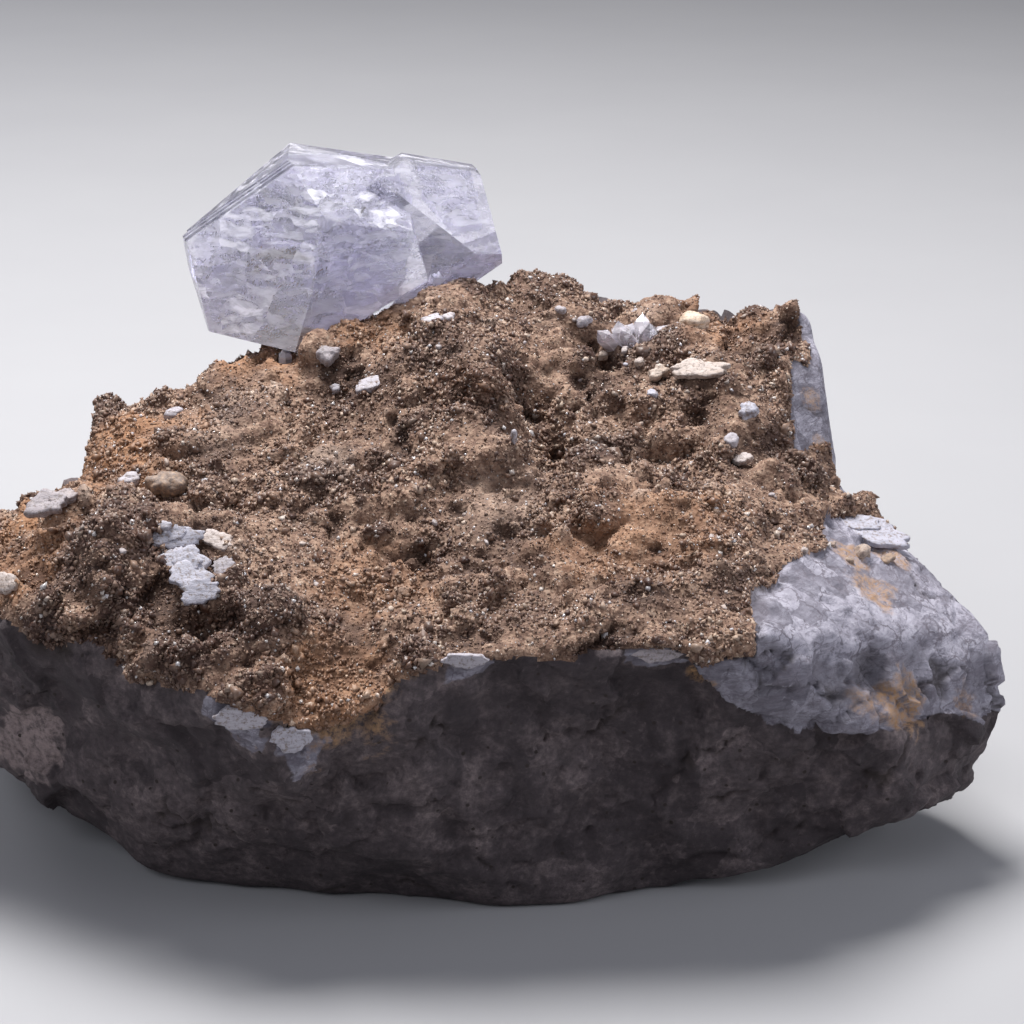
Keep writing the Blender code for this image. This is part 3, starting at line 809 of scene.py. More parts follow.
def fresh_shares(points, broken, white, ragged):
    """How fresh the break is at each point, which also carries the painted shade of the front below the
    white top, and how blocky its surface is.
    """
    low = np.interp(points[:, 0], WHITE_LOW_X, WHITE_LOW_Z)
    right_front = smooth_step(-0.3, 0.3, points[:, 2] - low + 1.6 * ragged)
    from_left = points[:, 0] - 15.0 * smooth_step(22.0, 30.0, points[:, 1]) + 3.0 * ragged
    right_front *= smooth_step(21.0, 22.5, from_left)
    side = smooth_step(31.0, 34.0, points[:, 2]) * smooth_step(8.0, 11.0, points[:, 1])
    # The front of the break gets 0.78 and the block's side 1.0, like the white top: the material paints
    # shade where it is below 1.
    fresh = np.maximum(white, right_front * broken * (0.78 + 0.22 * side))
    fresh = np.maximum(fresh, spots_at(points, FRESH_SPOTS, 2.0 * ragged) * broken)
    return fresh, np.maximum(white, right_front * broken)


class QUARTZ_OT_stone(bpy.types.Operator):
    """Make the block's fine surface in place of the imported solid: crust, front walls, back walls"""
    bl_idname = "quartz.stone"
    bl_label = "Stone"

    def execute(self, context):
        stone, crust = context.scene.stone_settings, context.scene.crust_settings
        points, quads = fine_stone(stone.skin_step)
        normals = point_normals(points, quads)
        calm = unit(relaxed(normals, quads, CALM_PASSES))
        broken, white = broken_share(points, calm), white_share(points, calm)
        ragged = 0.25 * noise_at(points, 2.5) + 0.20 * noise_at(points, 0.9)
        fresh, blocky = fresh_shares(points, broken, white, ragged)
        soft = smooth_step(FOOT_LEVEL, FOOT_LEVEL + FOOT_SOFT, points[:, 2])
        wall, cracks = wall_relief(points, stone.chip_depth * soft, blocky, white)
        lumps, clump = crust_relief(points, crust.clump_height)
        rise = self.risen(points, broken * wall + (1.0 - broken) * lumps, ragged)
        moved = points + calm * rise[:, None]
        moved[:, 2] = np.maximum(moved[:, 2], FOOT_LEVEL)
        # Dark: the crust's dark brown lumps, and on the walls the painted shade of the right end's
        # recesses.
        dark = np.maximum(spots_at(points, DARK_SPOTS, 1.4 * ragged) * (1.0 - white),
                          0.95 * smooth_step(0.57, 0.76, clump) * (1.0 - broken))
        pale = np.maximum(spots_at(points, PALE_SPOTS, 1.4 * ragged),
                          0.85 * smooth_step(0.40, 0.18, clump) * (1.0 - broken))
        patchy = smooth_step(-0.35, 0.40, noise_at(points, 6.5, 17.0))
        fields = {
            "ochre": spots_at(points, OCHRE_SPOTS, 1.6 * ragged),
            "pale": pale,
            "fresh": fresh,
            "pink": spots_at(points, PINK_SPOTS, 2.0 * ragged),
            # Mask of where the crust sinks, for the painted shade in its hollows.
            "hollow": smooth_step(0.6, -0.6, lumps),
            "coarse": np.clip(patchy + 0.7 * dark, 0.0, 1.0),
            "dark": dark,
        }
        on_wall = broken[quads].mean(axis=1) >= 0.5
        middle, facing = points[quads].mean(axis=1), normals[quads].mean(axis=1)
        front = (middle[:, 1] < 4.0) & (middle[:, 2] > 1.5) & (facing[:, 1] < 0.05)
        self.add_part("stone_crust", moved, quads[~on_wall], crust_look(crust), fields)
        fields["dark"] = np.maximum(dark, cracks * 0.8)
        look = wall_look(stone)
        self.add_part("stone_front_walls", moved, quads[on_wall & front], look, fields)
        self.add_part("stone_back_walls", moved, quads[on_wall & ~front], look, fields)
        return {"FINISHED"}

    def risen(self, points, relief, ragged):
        """The relief with the hollows taken out, and flat where the small crystals stand."""
        relief = relief - sum(depth * spots_at(points, ((x, y, z, reach, 1.0),), ragged)
                              for x, y, z, reach, depth in DENTS)
        for node in SMALL_CRYSTALS:
            centre = (np.mean(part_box(node), axis=0) - BLOCK_ORIGIN) / MM
            relief *= smooth_step(1.2, 3.4, np.linalg.norm(points - centre, axis=1))
        return relief

    def add_part(self, name, points, quads, look, fields):
        """One of the stone's pieces, with the numbers its material reads."""
        used, corners = np.unique(quads, return_inverse=True)
        mesh_data = mesh_of(name, points[used], corners.reshape(-1, 4))
        mesh_data.shade_smooth()
        for label, values in fields.items():
            give_values(mesh_data, label, values[used])
        add_piece(name, mesh_data, look, "matrix")


# Grains on the crust

# Small closed shapes of about radius 1: a sand chip, a bright diamond and a coarse leaning rhomb
CHIP_POINTS = np.array(((1, 1, 1), (1, -1, -1), (-1, 1, -1), (-1, -1, 1)), dtype=float) * 0.75
CHIP_FACES = np.array(((0, 1, 2), (0, 3, 1), (0, 2, 3), (1, 3, 2)))
DIAMOND_POINTS = np.array(((1, 0, 0), (-1, 0, 0), (0, 1, 0), (0, -1, 0), (0, 0, 1), (0, 0, -1)),
                          dtype=float)
DIAMOND_FACES = np.array(((0, 2, 4), (2, 1, 4), (1, 3, 4), (3, 0, 4),
                          (2, 0, 5), (1, 2, 5), (3, 1, 5), (0, 3, 5)))
RHOMB_POINTS = np.array([(x + 0.35 * y, y + 0.35 * z, z)
                         for z in (-0.7, 0.7) for y in (-0.7, 0.7) for x in (-0.7, 0.7)])
RHOMB_FACES = np.array(((0, 2, 3, 1), (4, 5, 7, 6), (0, 1, 5, 4),
                        (2, 6, 7, 3), (0, 4, 6, 2), (1, 3, 7, 5)))
SHAPES = {"chip": (CHIP_POINTS, CHIP_FACES), "diamond": (DIAMOND_POINTS, DIAMOND_FACES),
          "rhomb": (RHOMB_POINTS, RHOMB_FACES)}

# Grains: name, its number and its share of the usual size; shape, seed, material, mean tone and spread
GRAINS = (
    ("sand_grains_a", "sand_count", 0.46, "chip", 21, "sand", 0.50, 0.20),
    ("sand_grains_b", "sand_count", 0.57, "chip", 24, "sand", 0.42, 0.22),
    ("coarse_grains", "coarse_count", 0.66, "rhomb", 22, "coarse", 0.36, 0.24),
    ("bright_grains", "bright_count", 0.54, "diamond", 23, "bright", 0.5, 0.3),
)


def random_turns(pick, count):
    """Evenly spread rotations as matrices."""
    w, x, y, z = unit(pick.normal(size=(count, 4))).T
    rows = np.array(((1 - 2 * (y * y + z * z), 2 * (x * y - w * z), 2 * (x * z + w * y)),
                     (2 * (x * y + w * z), 1 - 2 * (x * x + z * z), 2 * (y * z - w * x)),
                     (2 * (x * z - w * y), 2 * (y * z + w * x), 1 - 2 * (x * x + y * y))))
    return rows.transpose(2, 0, 1)


def joined_copies(name, centres, turns, sizes, shape):
    """One mesh of many copies of a small closed shape, each with its own place, turn and sizes."""
    shape_points, shape_faces = SHAPES[shape]
    local = shape_points[None, :, :] * sizes[:, None, :]
    placed = np.einsum("nij,npj->npi", turns, local) + centres[:, None, :]
    starts = np.arange(len(centres)) * len(shape_points)
    faces = shape_faces[None, :, :] + starts[:, None, None]
    return mesh_of(name, placed.reshape(-1, 3), faces.reshape(-1, shape_faces.shape[1]))


def places_on(thing, pick, count, weights):
    """Random places on a mesh of quads, likelier where the faces weigh more."""
    points, quads = read_points(thing.data), read_quads(thing.data)
    corners = points[quads]
    looks = np.cross(corners[:, 2] - corners[:, 0], corners[:, 3] - corners[:, 1])
    chance = np.linalg.norm(looks, axis=1) * weights[quads].mean(axis=1)
    chosen = pick.choice(len(quads), size=count, p=chance / chance.sum())
    share = pick.random((count, 2))[:, :, None]
    near = corners[chosen, 0] * (1 - share[:, 0]) + corners[chosen, 1] * share[:, 0]
    far = corners[chosen, 3] * (1 - share[:, 0]) + corners[chosen, 2] * share[:, 0]
    return near * (1 - share[:, 1]) + far * share[:, 1], unit(looks[chosen]), quads[chosen, 0]


class QUARTZ_OT_grains(bpy.types.Operator):
    """Cover the crust with small crystals: sand, coarse brown rhombs and bright clear ones"""
    bl_idname = "quartz.grains"
    bl_label = "Crust grains"

    def execute(self, context):
        crust = context.scene.crust_settings
        ground = bpy.data.objects["stone_crust"]
        labels = ("ochre", "pale", "dark", "hollow", "coarse")
        fields = {label: read_values(ground.data, label) for label in labels}
        even = np.ones(len(ground.data.vertices))
        weights = {
            "sand": even,
            "coarse": 0.1 + 1.4 * fields["dark"] + 1.2 * fields["coarse"],
            "bright": 0.3 + fields["pale"] + 0.4 * even,
        }
        looks = {"sand": grain_look("sand grains", crust, 0.5),
                 "coarse": grain_look("coarse grains", crust, 0.32),
                 "bright": sparkle_look(crust)}
        for name, number, part, shape, seed, kind, tone, spread in GRAINS:
            pick, count = np.random.default_rng(seed), getattr(crust, number)
            places, facing, nearest = places_on(ground, pick, count, weights[kind])
            radius = crust.grain_size * part / MM / 2.0 * np.exp(0.36 * pick.normal(size=count))
            radius = radius * (0.62 + 0.55 * fields["coarse"][nearest])
            sizes = radius[:, None] * pick.uniform(0.7, 1.3, (count, 3))
            centres = places + facing * (radius * pick.uniform(-0.6, 0.4, count))[:, None]
            mesh_data = joined_copies(name, centres, random_turns(pick, count), sizes, shape)
            corners = len(SHAPES[shape][0])
            # Grains in the crust's hollows get a darker tone: painted shade.
            own = np.clip(pick.normal(tone, spread, count) - 0.22 * fields["hollow"][nearest], 0.0, 1.0)
            give_values(mesh_data, "tone", np.repeat(own, corners))
            for label in ("ochre", "pale", "dark"):
                own = fields[label][nearest] * pick.uniform(0.5, 1.0, count)
                give_values(mesh_data, label, np.repeat(own, corners))
            add_piece(name, mesh_data, looks[kind])
        return {"FINISHED"}


# Chips and pebbles on the stone: x, y, z; half sizes across, along and up; turn, lean towards the
# front, how flat, how cream, how brown
CHIPS = (
    (-26.6, -12.9, 36.0, 2.6, 1.3, 0.28, 0.25, 0.7, 1.0, 0.0, 0.0),
    (-25.8, -15.0, 35.2, 2.2, 1.6, 0.30, 0.05, 0.8, 1.0, 0.0, 0.0),
    (-25.0, -17.6, 34.4, 2.4, 1.8, 0.32, -0.25, 0.9, 1.0, 0.0, 0.0),
    (-24.0, -20.2, 33.8, 2.1, 1.3, 0.28, 0.20, 1.0, 1.0, 0.0, 0.0),
    (-22.8, -11.9, 35.4, 2.0, 1.0, 0.28, -0.35, 0.6, 1.0, 0.55, 0.0),
    (-22.2, -14.9, 34.5, 1.3, 0.9, 0.25, 0.50, 0.8, 0.9, 0.0, 0.25),
    (-27.8, -12.2, 37.0, 0.7, 0.5, 0.35, 0.10, 0.5, 0.6, 0.0, 0.1),
    (-42.7, -14.0, 31.8, 1.2, 1.2, 0.60, 0.30, 0.8, 0.5, 0.60, 0.0),
    (-45.5, -11.5, 31.8, 1.3, 0.9, 0.50, 0.00, 0.5, 0.6, 0.25, 0.0),
    (-32.6, -0.3, 37.6, 1.2, 0.8, 0.55, 0.15, 0.4, 0.6, 0.20, 0.0),
    (-12.8, 12.5, 42.9, 0.7, 0.6, 0.50, 0.60, 0.5, 0.5, 0.10, 0.1),
    (-9.4, 11.4, 43.8, 1.7, 1.0, 0.40, 0.40, 0.5, 1.0, 0.15, 0.0),
    (-2.9, 16.5, 49.0, 1.3, 0.8, 0.50, 0.10, 0.4, 0.7, 0.15, 0.0),
    (-1.2, 17.0, 48.8, 0.7, 0.6, 0.50, 0.80, 0.4, 0.6, 0.25, 0.0),
    (19.9, 13.7, 41.9, 0.7, 0.6, 0.45, 0.20, 0.5, 0.5, 0.0, 0.0),
    (29.9, 10.9, 40.9, 1.2, 0.9, 0.70, 0.25, 0.4, 0.5, 0.0, 0.0),
    (28.0, 6.5, 39.6, 0.9, 0.8, 0.50, 0.70, 0.5, 0.5, 0.10, 0.15),
    (29.0, 5.7, 38.3, 1.2, 0.7, 0.40, 0.10, 0.5, 1.0, 0.50, 0.0),
    (-29.3, 11.4, 40.4, 1.1, 0.8, 0.50, 0.20, 0.5, 0.5, 0.10, 0.1),
    (-28.7, -1.5, 37.0, 2.1, 1.5, 1.40, 0.15, 0.3, 0.3, 0.0, 0.85),
    (-40.7, -6.2, 37.3, 2.2, 1.5, 0.50, 0.25, 0.5, 0.8, 0.0, 0.35),
    (-38.6, -5.0, 37.2, 1.5, 1.0, 0.45, 0.60, 0.5, 0.8, 0.0, 0.45),
    (24.8, 25.7, 46.0, 1.9, 1.5, 1.30, 0.20, 0.3, 0.1, 1.0, 0.0),
    (24.6, 15.4, 44.2, 3.2, 1.3, 0.40, -0.15, 0.5, 1.0, 0.65, 0.0),
    (20.9, 17.0, 44.0, 1.2, 0.8, 0.60, 0.40, 0.5, 0.5, 0.80, 0.0),
    (13.1, 24.2, 46.8, 0.85, 0.75, 0.65, 0.0, 0.3, 0.0, 0.0, 0.2),
    (18.1, 25.4, 45.4, 1.1, 0.7, 0.45, 0.20, 0.4, 0.4, 0.0, 0.1),
    (19.7, 28.2, 45.7, 0.9, 0.6, 0.50, 0.70, 0.3, 0.4, 0.10, 0.1),
    (21.2, 26.4, 44.9, 0.9, 0.7, 0.60, 0.20, 0.3, 0.4, 0.0, 0.2),
    (15.2, 21.3, 43.8, 0.6, 0.5, 0.45, 0.10, 0.3, 0.3, 0.70, 0.1),
    (17.0, 21.1, 44.5, 0.5, 0.5, 0.40, 0.50, 0.3, 0.3, 0.40, 0.1),
    (18.8, 18.4, 44.2, 0.7, 0.5, 0.45, 0.90, 0.3, 0.3, 0.60, 0.1),
    (10.5, 25.1, 47.7, 0.5, 0.45, 0.40, 0.20, 0.3, 0.3, 0.20, 0.1),
    (5.7, -0.5, 42.1, 0.36, 0.32, 0.95, 0.0, 0.2, 0.3, 0.15, 0.0),
    (40.2, -2.6, 30.5, 0.8, 0.7, 0.80, 0.15, 0.3, 0.1, 0.6, 0.45),
    (38.8, -5.0, 30.6, 0.5, 0.4, 0.30, 0.40, 0.3, 0.3, 0.6, 0.65),
    (42.9, -2.1, 29.7, 0.9, 0.6, 0.30, 0.80, 0.3, 0.3, 0.6, 0.75),
    (37.1, -3.5, 31.7, 0.5, 0.4, 0.30, 0.20, 0.3, 0.3, 0.5, 0.60),
    (41.6, 3.6, 30.9, 4.9, 2.4, 0.36, -0.22, 0.30, 1.0, 0.0, 0.0),
    (-19.2, -30.0, 24.8, 2.8, 1.2, 0.35, -0.20, 1.5, 0.9, 0.05, 0.10),
    (-14.8, -30.0, 22.9, 2.2, 1.4, 0.35, -0.50, 1.5, 0.9, 0.0, 0.10),
    (1.2, -28.4, 29.8, 2.2, 0.8, 0.30, -0.10, 1.5, 0.9, 0.0, 0.20),
    (18.6, -25.7, 29.6, 2.4, 0.9, 0.35, 0.15, 1.4, 0.9, 0.0, 0.35),
    (-13.4, 14.1, 45.8, 1.3, 1.0, 0.85, 0.30, 0.4, 0.4, 0.0, 0.35),
)
CHIP_SEED = 41
CHIP_SHARE = 0.9
SCATTERED_CHIPS = 60

# Chips below the first size get a coarse mesh, and those above the second a fine one
SMALL_CHIP, BIG_CHIP = 0.34, 1.0
COARSE_BALL, USUAL_BALL, FINE_BALL = 2, 3, 4


def ball_mesh(subdivisions):
    """Points and triangles of an even ball of radius 1."""
    body = bmesh.new()
    bmesh.ops.create_icosphere(body, subdivisions=subdivisions, radius=1.0)
    points = np.array([vert.co[:] for vert in body.verts])
    faces = np.array([[vert.index for vert in face.verts] for face in body.faces])
    body.free()
    return points, faces


def chip_shape(ball, sizes, flat, salt):
    """A pebble or a flat plate with a ragged outline, about its own middle."""
    power = 2.0 + 7.0 * flat
    level = np.linalg.norm(ball[:, :2], axis=1)
    shape = ball / ((level ** power + np.abs(ball[:, 2]) ** power) ** (1.0 / power))[:, None]
    about = np.column_stack((unit(ball[:, :2]), np.zeros(len(ball))))
    outline = 1.0 + 0.38 * noise_at(about, 0.9, salt)
    outline += (0.12 + 0.18 * flat) * noise_at(about, 0.3, salt)
    shape[:, :2] *= outline[:, None]
    placed = shape * sizes
    ridges, _ = facets_at(placed, 0.9, 0.35, salt)
    rough = 0.12 * noise_at(placed, 0.9, salt) + 0.05 * noise_at(placed, 0.4, salt)
    rise = rough + 0.40 * (1.0 - 0.8 * flat) * ridges
    return placed + unit(ball) * rise[:, None] * min(1.0, min(sizes) / 0.5)


class QUARTZ_OT_chips(bpy.types.Operator):
    """Lay white flakes, cream chips, nodules and pebbles on the stone"""
    bl_idname = "quartz.chips"
    bl_label = "Chips and pebbles"

    def execute(self, context):
        stone = context.scene.stone_settings
        points, faces = [], []
        for name in ("stone_crust", "stone_front_walls", "stone_back_walls"):
            mesh_data = bpy.data.objects[name].data
            faces.append(read_quads(mesh_data) + sum(len(part) for part in points))
            points.append(read_points(mesh_data))
        tree = BVHTree.FromPolygons(np.concatenate(points).tolist(), np.concatenate(faces).tolist())
        pick = np.random.default_rng(CHIP_SEED)
        rows = list(CHIPS) + self.layers() + self.scattered(pick)
        balls = {level: ball_mesh(level) for level in (COARSE_BALL, USUAL_BALL, FINE_BALL)}
        points, faces, creams, browns, count = [], [], [], [], 0
        for row in rows:
            sizes = CHIP_SHARE * np.array(row[3:6])
            level = USUAL_BALL
            if sizes.max() < SMALL_CHIP:
                level = COARSE_BALL
            elif sizes.max() > BIG_CHIP:
                level = FINE_BALL
            ball, corners = balls[level]
            found, normal, _, _ = tree.find_nearest(Vector(row[:3]))
            turn, lean, flat, cream, brown = row[6:]
            up = unit(np.array((0.0, -math.sin(lean), math.cos(lean))) + 0.35 * np.array(normal))
            across = unit(np.cross(np.cross(up, (math.cos(turn), math.sin(turn), 0.0)), up))
            middle = 0.7 * np.array(found) + 0.3 * np.array(row[:3]) + up * (0.05 + 0.2 * sizes[2])
            shape = chip_shape(ball, sizes, flat, pick.uniform(0.0, 50.0))
            points.append(middle + shape @ np.array((across, np.cross(up, across), up)))
            faces.append(corners + count)
            creams.append(np.full(len(ball), cream))
            browns.append(np.full(len(ball), brown))
            count += len(ball)
        mesh_data = mesh_of("chips_and_pebbles", np.concatenate(points), np.concatenate(faces))
        mesh_data.shade_smooth()
        give_values(mesh_data, "cream", np.concatenate(creams))
        give_values(mesh_data, "brown", np.concatenate(browns))
        add_piece("chips_and_pebbles", mesh_data, chalk_look(stone))
        return {"FINISHED"}

    def layers(self):
        """A smaller second layer on each wide plate."""
        rows = []
        for x, y, z, wide, long, thick, turn, lean, flat, cream, brown in CHIPS:
            if flat == 1.0 and wide > 1.5:
                rows.append((x - 0.25 * wide, y + 0.2 * long, z + 1.1 * thick,
                             0.62 * wide, 0.6 * long, 0.8 * thick,
                             turn + 0.4, lean, flat, cream, brown))
        return rows

    def scattered(self, pick):
        """Small pale chips anywhere on the crust."""
        ground = bpy.data.objects["stone_crust"]
        even = np.ones(len(ground.data.vertices))
        places, _, _ = places_on(ground, pick, SCATTERED_CHIPS, even)
        rows = []
        for place in places:
            size = pick.uniform(0.16, 0.42)
            rows.append((*place, size, size * pick.uniform(0.6, 1.0), size * pick.uniform(0.5, 0.9),
                         pick.uniform(0.0, 3.0), 0.4, pick.uniform(0.2, 0.7), pick.uniform(0.0, 0.9),
                         pick.uniform(0.0, 0.5)))
        return rows


# Quartz


def crystal_turn():
    """The crystal's viewing frame: columns point right, up and towards the viewer."""
    level = math.cos(CRYSTAL_LOOKS_UP)
    towards = Vector((level * math.cos(CRYSTAL_LOOKS_TO), level * math.sin(CRYSTAL_LOOKS_TO),
                      math.sin(CRYSTAL_LOOKS_UP)))
    right = Vector((0.0, 0.0, 1.0)).cross(towards).normalized()
    return np.array((right, towards.cross(right), towards)).T


CRYSTAL_TURN = crystal_turn()


def from_crystal(places):
    """Places in the crystal's own frame, in the block's millimetres."""
    return np.asarray(places) @ CRYSTAL_TURN.T + np.array(CRYSTAL_CENTRE)


# What counts as one point, as a flat join and as an edge on the crystals
WELD_DISTANCE = 0.01 * MM
FLAT_ANGLE = math.radians(0.5)
SHARP_EDGE = math.radians(12.0)
SMALL_QUARTZ_DENSER = 2.0

# Growth steps in the crystal's own frame: the face they lie on and the face whose edge they follow,
# each as a point and the way it looks, and the steps' depths and distances from that edge
LEFT_ROOF = ((-8.8, 5.2, 4.6), (-0.585, 0.795, 0.160))
ROOF = ((1.7, 8.1, 4.3), (0.151, 0.965, 0.212))
FRONT_LEFT = ((0.2, 2.7, 10.6), (-0.511, 0.247, 0.824))
FRONT_TOP = ((1.7, 7.8, 4.3), (0.375, 0.671, 0.640))
GROWTH_STEPS = (
    (LEFT_ROOF, FRONT_LEFT, ((0.14, 2.3), (0.34, 1.5), (0.62, 0.7))),
    (ROOF, FRONT_TOP, ((0.08, 0.6),)),
)
STEPS_END = (7.6, 0.0, 0.0)
CUTTER_SIZE = 120.0


def half_space_box(faces):
    """A closed solid behind every face of a set, in the scene's metres."""
    body = bmesh.new()
    centre = Matrix.Translation(Vector(CRYSTAL_CENTRE) * MM)
    bmesh.ops.create_cube(body, size=CUTTER_SIZE * MM, matrix=centre)
    for point, outward in faces:
        everything = body.verts[:] + body.edges[:] + body.faces[:]
        bmesh.ops.bisect_plane(body, geom=everything, plane_co=Vector(point) * MM,
                               plane_no=Vector(outward), clear_outer=True, dist=1e-7)
        rim = [edge for edge in body.edges if edge.is_boundary]
        if rim:
            bmesh.ops.contextual_create(body, geom=rim)
    bmesh.ops.recalc_face_normals(body, faces=body.faces)
    mesh_data = bpy.data.meshes.new("step")
    body.to_mesh(mesh_data)
    body.free()
    mesh_data.transform(Matrix.Translation(Vector(BLOCK_ORIGIN)))
    return mesh_data


def growth_cuts():
    """Thin slabs to take off, each leaving a step that runs along a face's front edge."""
    for (place, looks), (beside_place, beside), steps in GROWTH_STEPS:
        face_out, beside_out = unit(np.array(looks)), unit(np.array(beside))
        along = unit(np.cross(face_out, beside_out))
        inward = np.cross(along, face_out)
        inward *= -np.sign(inward @ beside_out)
        gap = (np.array(beside_place) - place) @ beside_out
        edge = np.array(place) + inward * gap / (inward @ beside_out)
        for depth, back in steps:
            floor_spot = from_crystal(edge - face_out * depth)
            riser_spot = from_crystal(edge + inward * back)
            yield ((floor_spot, CRYSTAL_TURN @ -face_out), (riser_spot, CRYSTAL_TURN @ inward),
                   (from_crystal(STEPS_END), CRYSTAL_TURN @ np.array((1.0, 0.0, 0.0))))


def clean_copy(node):
    """A packed crystal's mesh with its flat faces whole again."""
    body = bmesh.new()
    body.from_mesh(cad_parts[node].data)
    bmesh.ops.remove_doubles(body, verts=body.verts, dist=WELD_DISTANCE)
    bmesh.ops.dissolve_limit(body, angle_limit=FLAT_ANGLE, verts=body.verts, edges=body.edges)
    mesh_data = bpy.data.meshes.new(node)
    body.to_mesh(mesh_data)
    body.free()
    return mesh_data


def soften(thing, width, segments):
    edge = thing.modifiers.new("edge", "BEVEL")
    edge.width = width
    edge.segments = segments
    edge.limit_method = "ANGLE"
    edge.angle_limit = SHARP_EDGE


class QUARTZ_OT_crystal(bpy.types.Operator):
    """Make the clear crystal group with growth steps and softened edges"""
    bl_idname = "quartz.crystal"
    bl_label = "Clear crystal group"

    def execute(self, context):
        quartz = context.scene.quartz_settings
        thing = loose_object("clear_crystal_body", clean_copy("herkimer_crystal"))
        cutters = []
        for faces in growth_cuts():
            cutter = loose_object("growth_cut", half_space_box(faces))
            step = thing.modifiers.new("growth", "BOOLEAN")
            step.operation = "DIFFERENCE"
            step.solver = "EXACT"
            step.object = cutter
            cutters.append(cutter)
        soften(thing, quartz.edge_bevel, 2)
        mesh_data = baked(thing)
        for cutter in cutters:
            bpy.data.objects.remove(cutter, do_unlink=True)
        look = quartz_look("clear quartz", quartz, quartz.density)
        add_piece("clear_crystal", mesh_data, look, "herkimer_crystal")
        return {"FINISHED"}


# Healed cracks in the crystal's own frame: outline, depth under the front, tilt, flakes per square mm,
# the way the flakes run, rust
VEILS = {
    "bright_left": (((-7.0, 5.9), (-6.8, 3.6), (-5.4, 1.1), (-4.0, 0.5), (-1.6, 0.0), (2.2, 2.2),
                     (0.6, 4.9), (-2.7, 6.5)), 1.8, (0.15, -0.25), 60.0, -0.6, 0.0),
    "bright_middle": (((-2.7, 7.0), (6.0, 7.2), (8.1, 4.9), (8.7, 2.2), (2.7, 2.5), (-1.6, 3.2)),
                      2.4, (-0.1, 0.2), 34.0, 0.5, 0.0),
    "left_column": (((-13.5, 1.1), (-9.2, 4.9), (-6.8, 3.2), (-7.5, -1.6), (-10.8, -4.9), (-12.9, -5.9)),
                    2.0, (0.3, 0.1), 26.0, 1.2, 0.05),
    "lower_cloud": (((-9.7, -0.5), (-0.5, -0.5), (0.6, -5.9), (-4.8, -9.2), (-10.8, -8.1)),
                    2.6, (0.1, 0.3), 22.0, 0.9, 0.25),
    "brown_arch": (((-8.2, -1.8), (-6.0, -0.6), (-3.0, -0.4), (-1.2, -1.8), (-2.6, -1.5), (-5.6, -1.3),
                    (-7.2, -3.2)), 1.2, (0.0, 0.2), 150.0, 0.2, 0.8),
    "right_veil": (((8.7, 8.1), (15.7, 7.6), (16.8, 1.6), (12.4, 3.2), (9.2, 5.9)),
                   1.8, (-0.2, 0.2), 30.0, -0.8, 0.0),
    "right_low": (((8.1, -0.5), (15.7, -1.6), (14.6, -4.9), (8.1, -4.3)),
                  2.0, (0.1, 0.2), 14.0, 0.4, 0.05),
    "bottom": (((-12.4, -8.1), (-3.8, -9.7), (0.6, -7.0), (-8.1, -5.9)),
               1.6, (0.0, 0.4), 36.0, 0.3, 0.40),
    "bottom_edge": (((-12.6, -9.0), (-11.0, -9.4), (-3.4, -11.0), (-2.6, -9.8), (-9.0, -8.6)),
                    0.9, (0.0, 0.4), 70.0, 0.3, 0.85),
    "deep": (((-12.0, 3.0), (0.0, 7.0), (8.0, 5.0), (8.0, -3.0), (0.0, -7.0), (-11.0, -7.0)),
             7.0, (0.0, 0.2), 16.0, 0.0, 0.05),
}

# Milky sheets in the crystal's own frame: outline, depth under the front, tilt, how milky, rust
SHEETS = (
    (((-7.0, 6.2), (-6.9, 3.4), (-5.3, 0.9), (-4.0, 0.6), (-1.6, -0.1), (0.3, 1.4), (2.8, 2.2),
      (8.9, 1.2), (8.2, 5.2), (5.6, 7.4), (-2.6, 7.4)), 2.4, (0.06, 0.35), 1.0, 0.0),
    (((-13.6, 1.0), (-9.0, 5.0), (-7.2, 3.8), (-5.6, 0.6), (-7.6, -2.4), (-9.4, -6.0), (-13.4, -5.6)),
     3.2, (0.10, 0.55), 0.70, 0.0),
    (((-9.2, -2.6), (-5.8, 0.3), (-1.9, -0.4), (0.2, -4.6), (-3.2, -9.0), (-9.8, -8.0)),
     3.4, (0.05, 0.60), 0.60, 0.25),
    (((0.3, -1.4), (7.4, 0.4), (9.0, -1.2), (8.0, -4.0), (2.6, -5.2), (-0.6, -4.0)),
     3.0, (0.0, 0.60), 0.55, 0.0),
    (((9.4, 8.2), (15.6, 7.6), (17.0, 1.2), (13.4, 0.4), (10.2, 4.0)), 2.4, (-0.08, 0.45), 0.80, 0.0),
    (((-11.5, 2.5), (-2.0, 7.6), (6.0, 7.6), (9.0, 2.0), (6.0, -6.0), (-4.0, -8.8), (-11.5, -7.0)),
     7.5, (0.0, 0.50), 0.85, 0.0),
)
SHEET_STEP = 0.24
SHEET_THICKNESS = 0.03
FLAKE_HALF_THICKNESS = 0.02

# Least distance of veils and flakes from the crystal's surface, and where the rays that find it start
VEIL_MARGIN = 0.5
RAY_START = 30.0

# Specks in the crystal's own frame: right, up, depth under the front, three half sizes, turn
SPECKS = (
    (3.85, 3.24, 1.0, 0.55, 0.14, 0.12, 0.85),
    (4.15, 3.60, 1.0, 0.18, 0.16, 0.10, 0.3),
    (5.60, 5.90, 0.8, 0.22, 0.05, 0.05, -0.3),
    (-9.3, -4.75, 1.0, 0.14, 0.12, 0.10, 0.2),
    (-9.7, -1.20, 1.0, 0.10, 0.10, 0.08, 0.9),
    (-9.6, -2.80, 0.9, 0.12, 0.09, 0.08, 0.5),
    (-10.1, -5.60, 0.8, 0.14, 0.10, 0.08, 0.1),
    (-13.3, 0.00, 0.8, 0.10, 0.08, 0.08, 0.4),
    (-8.9, 0.30, 0.9, 0.09, 0.08, 0.08, 0.4),
    (-6.5, -4.9, 1.4, 0.16, 0.06, 0.06, 0.7),
    (-2.9, 2.0, 1.2, 0.08, 0.06, 0.06, 0.7),
)


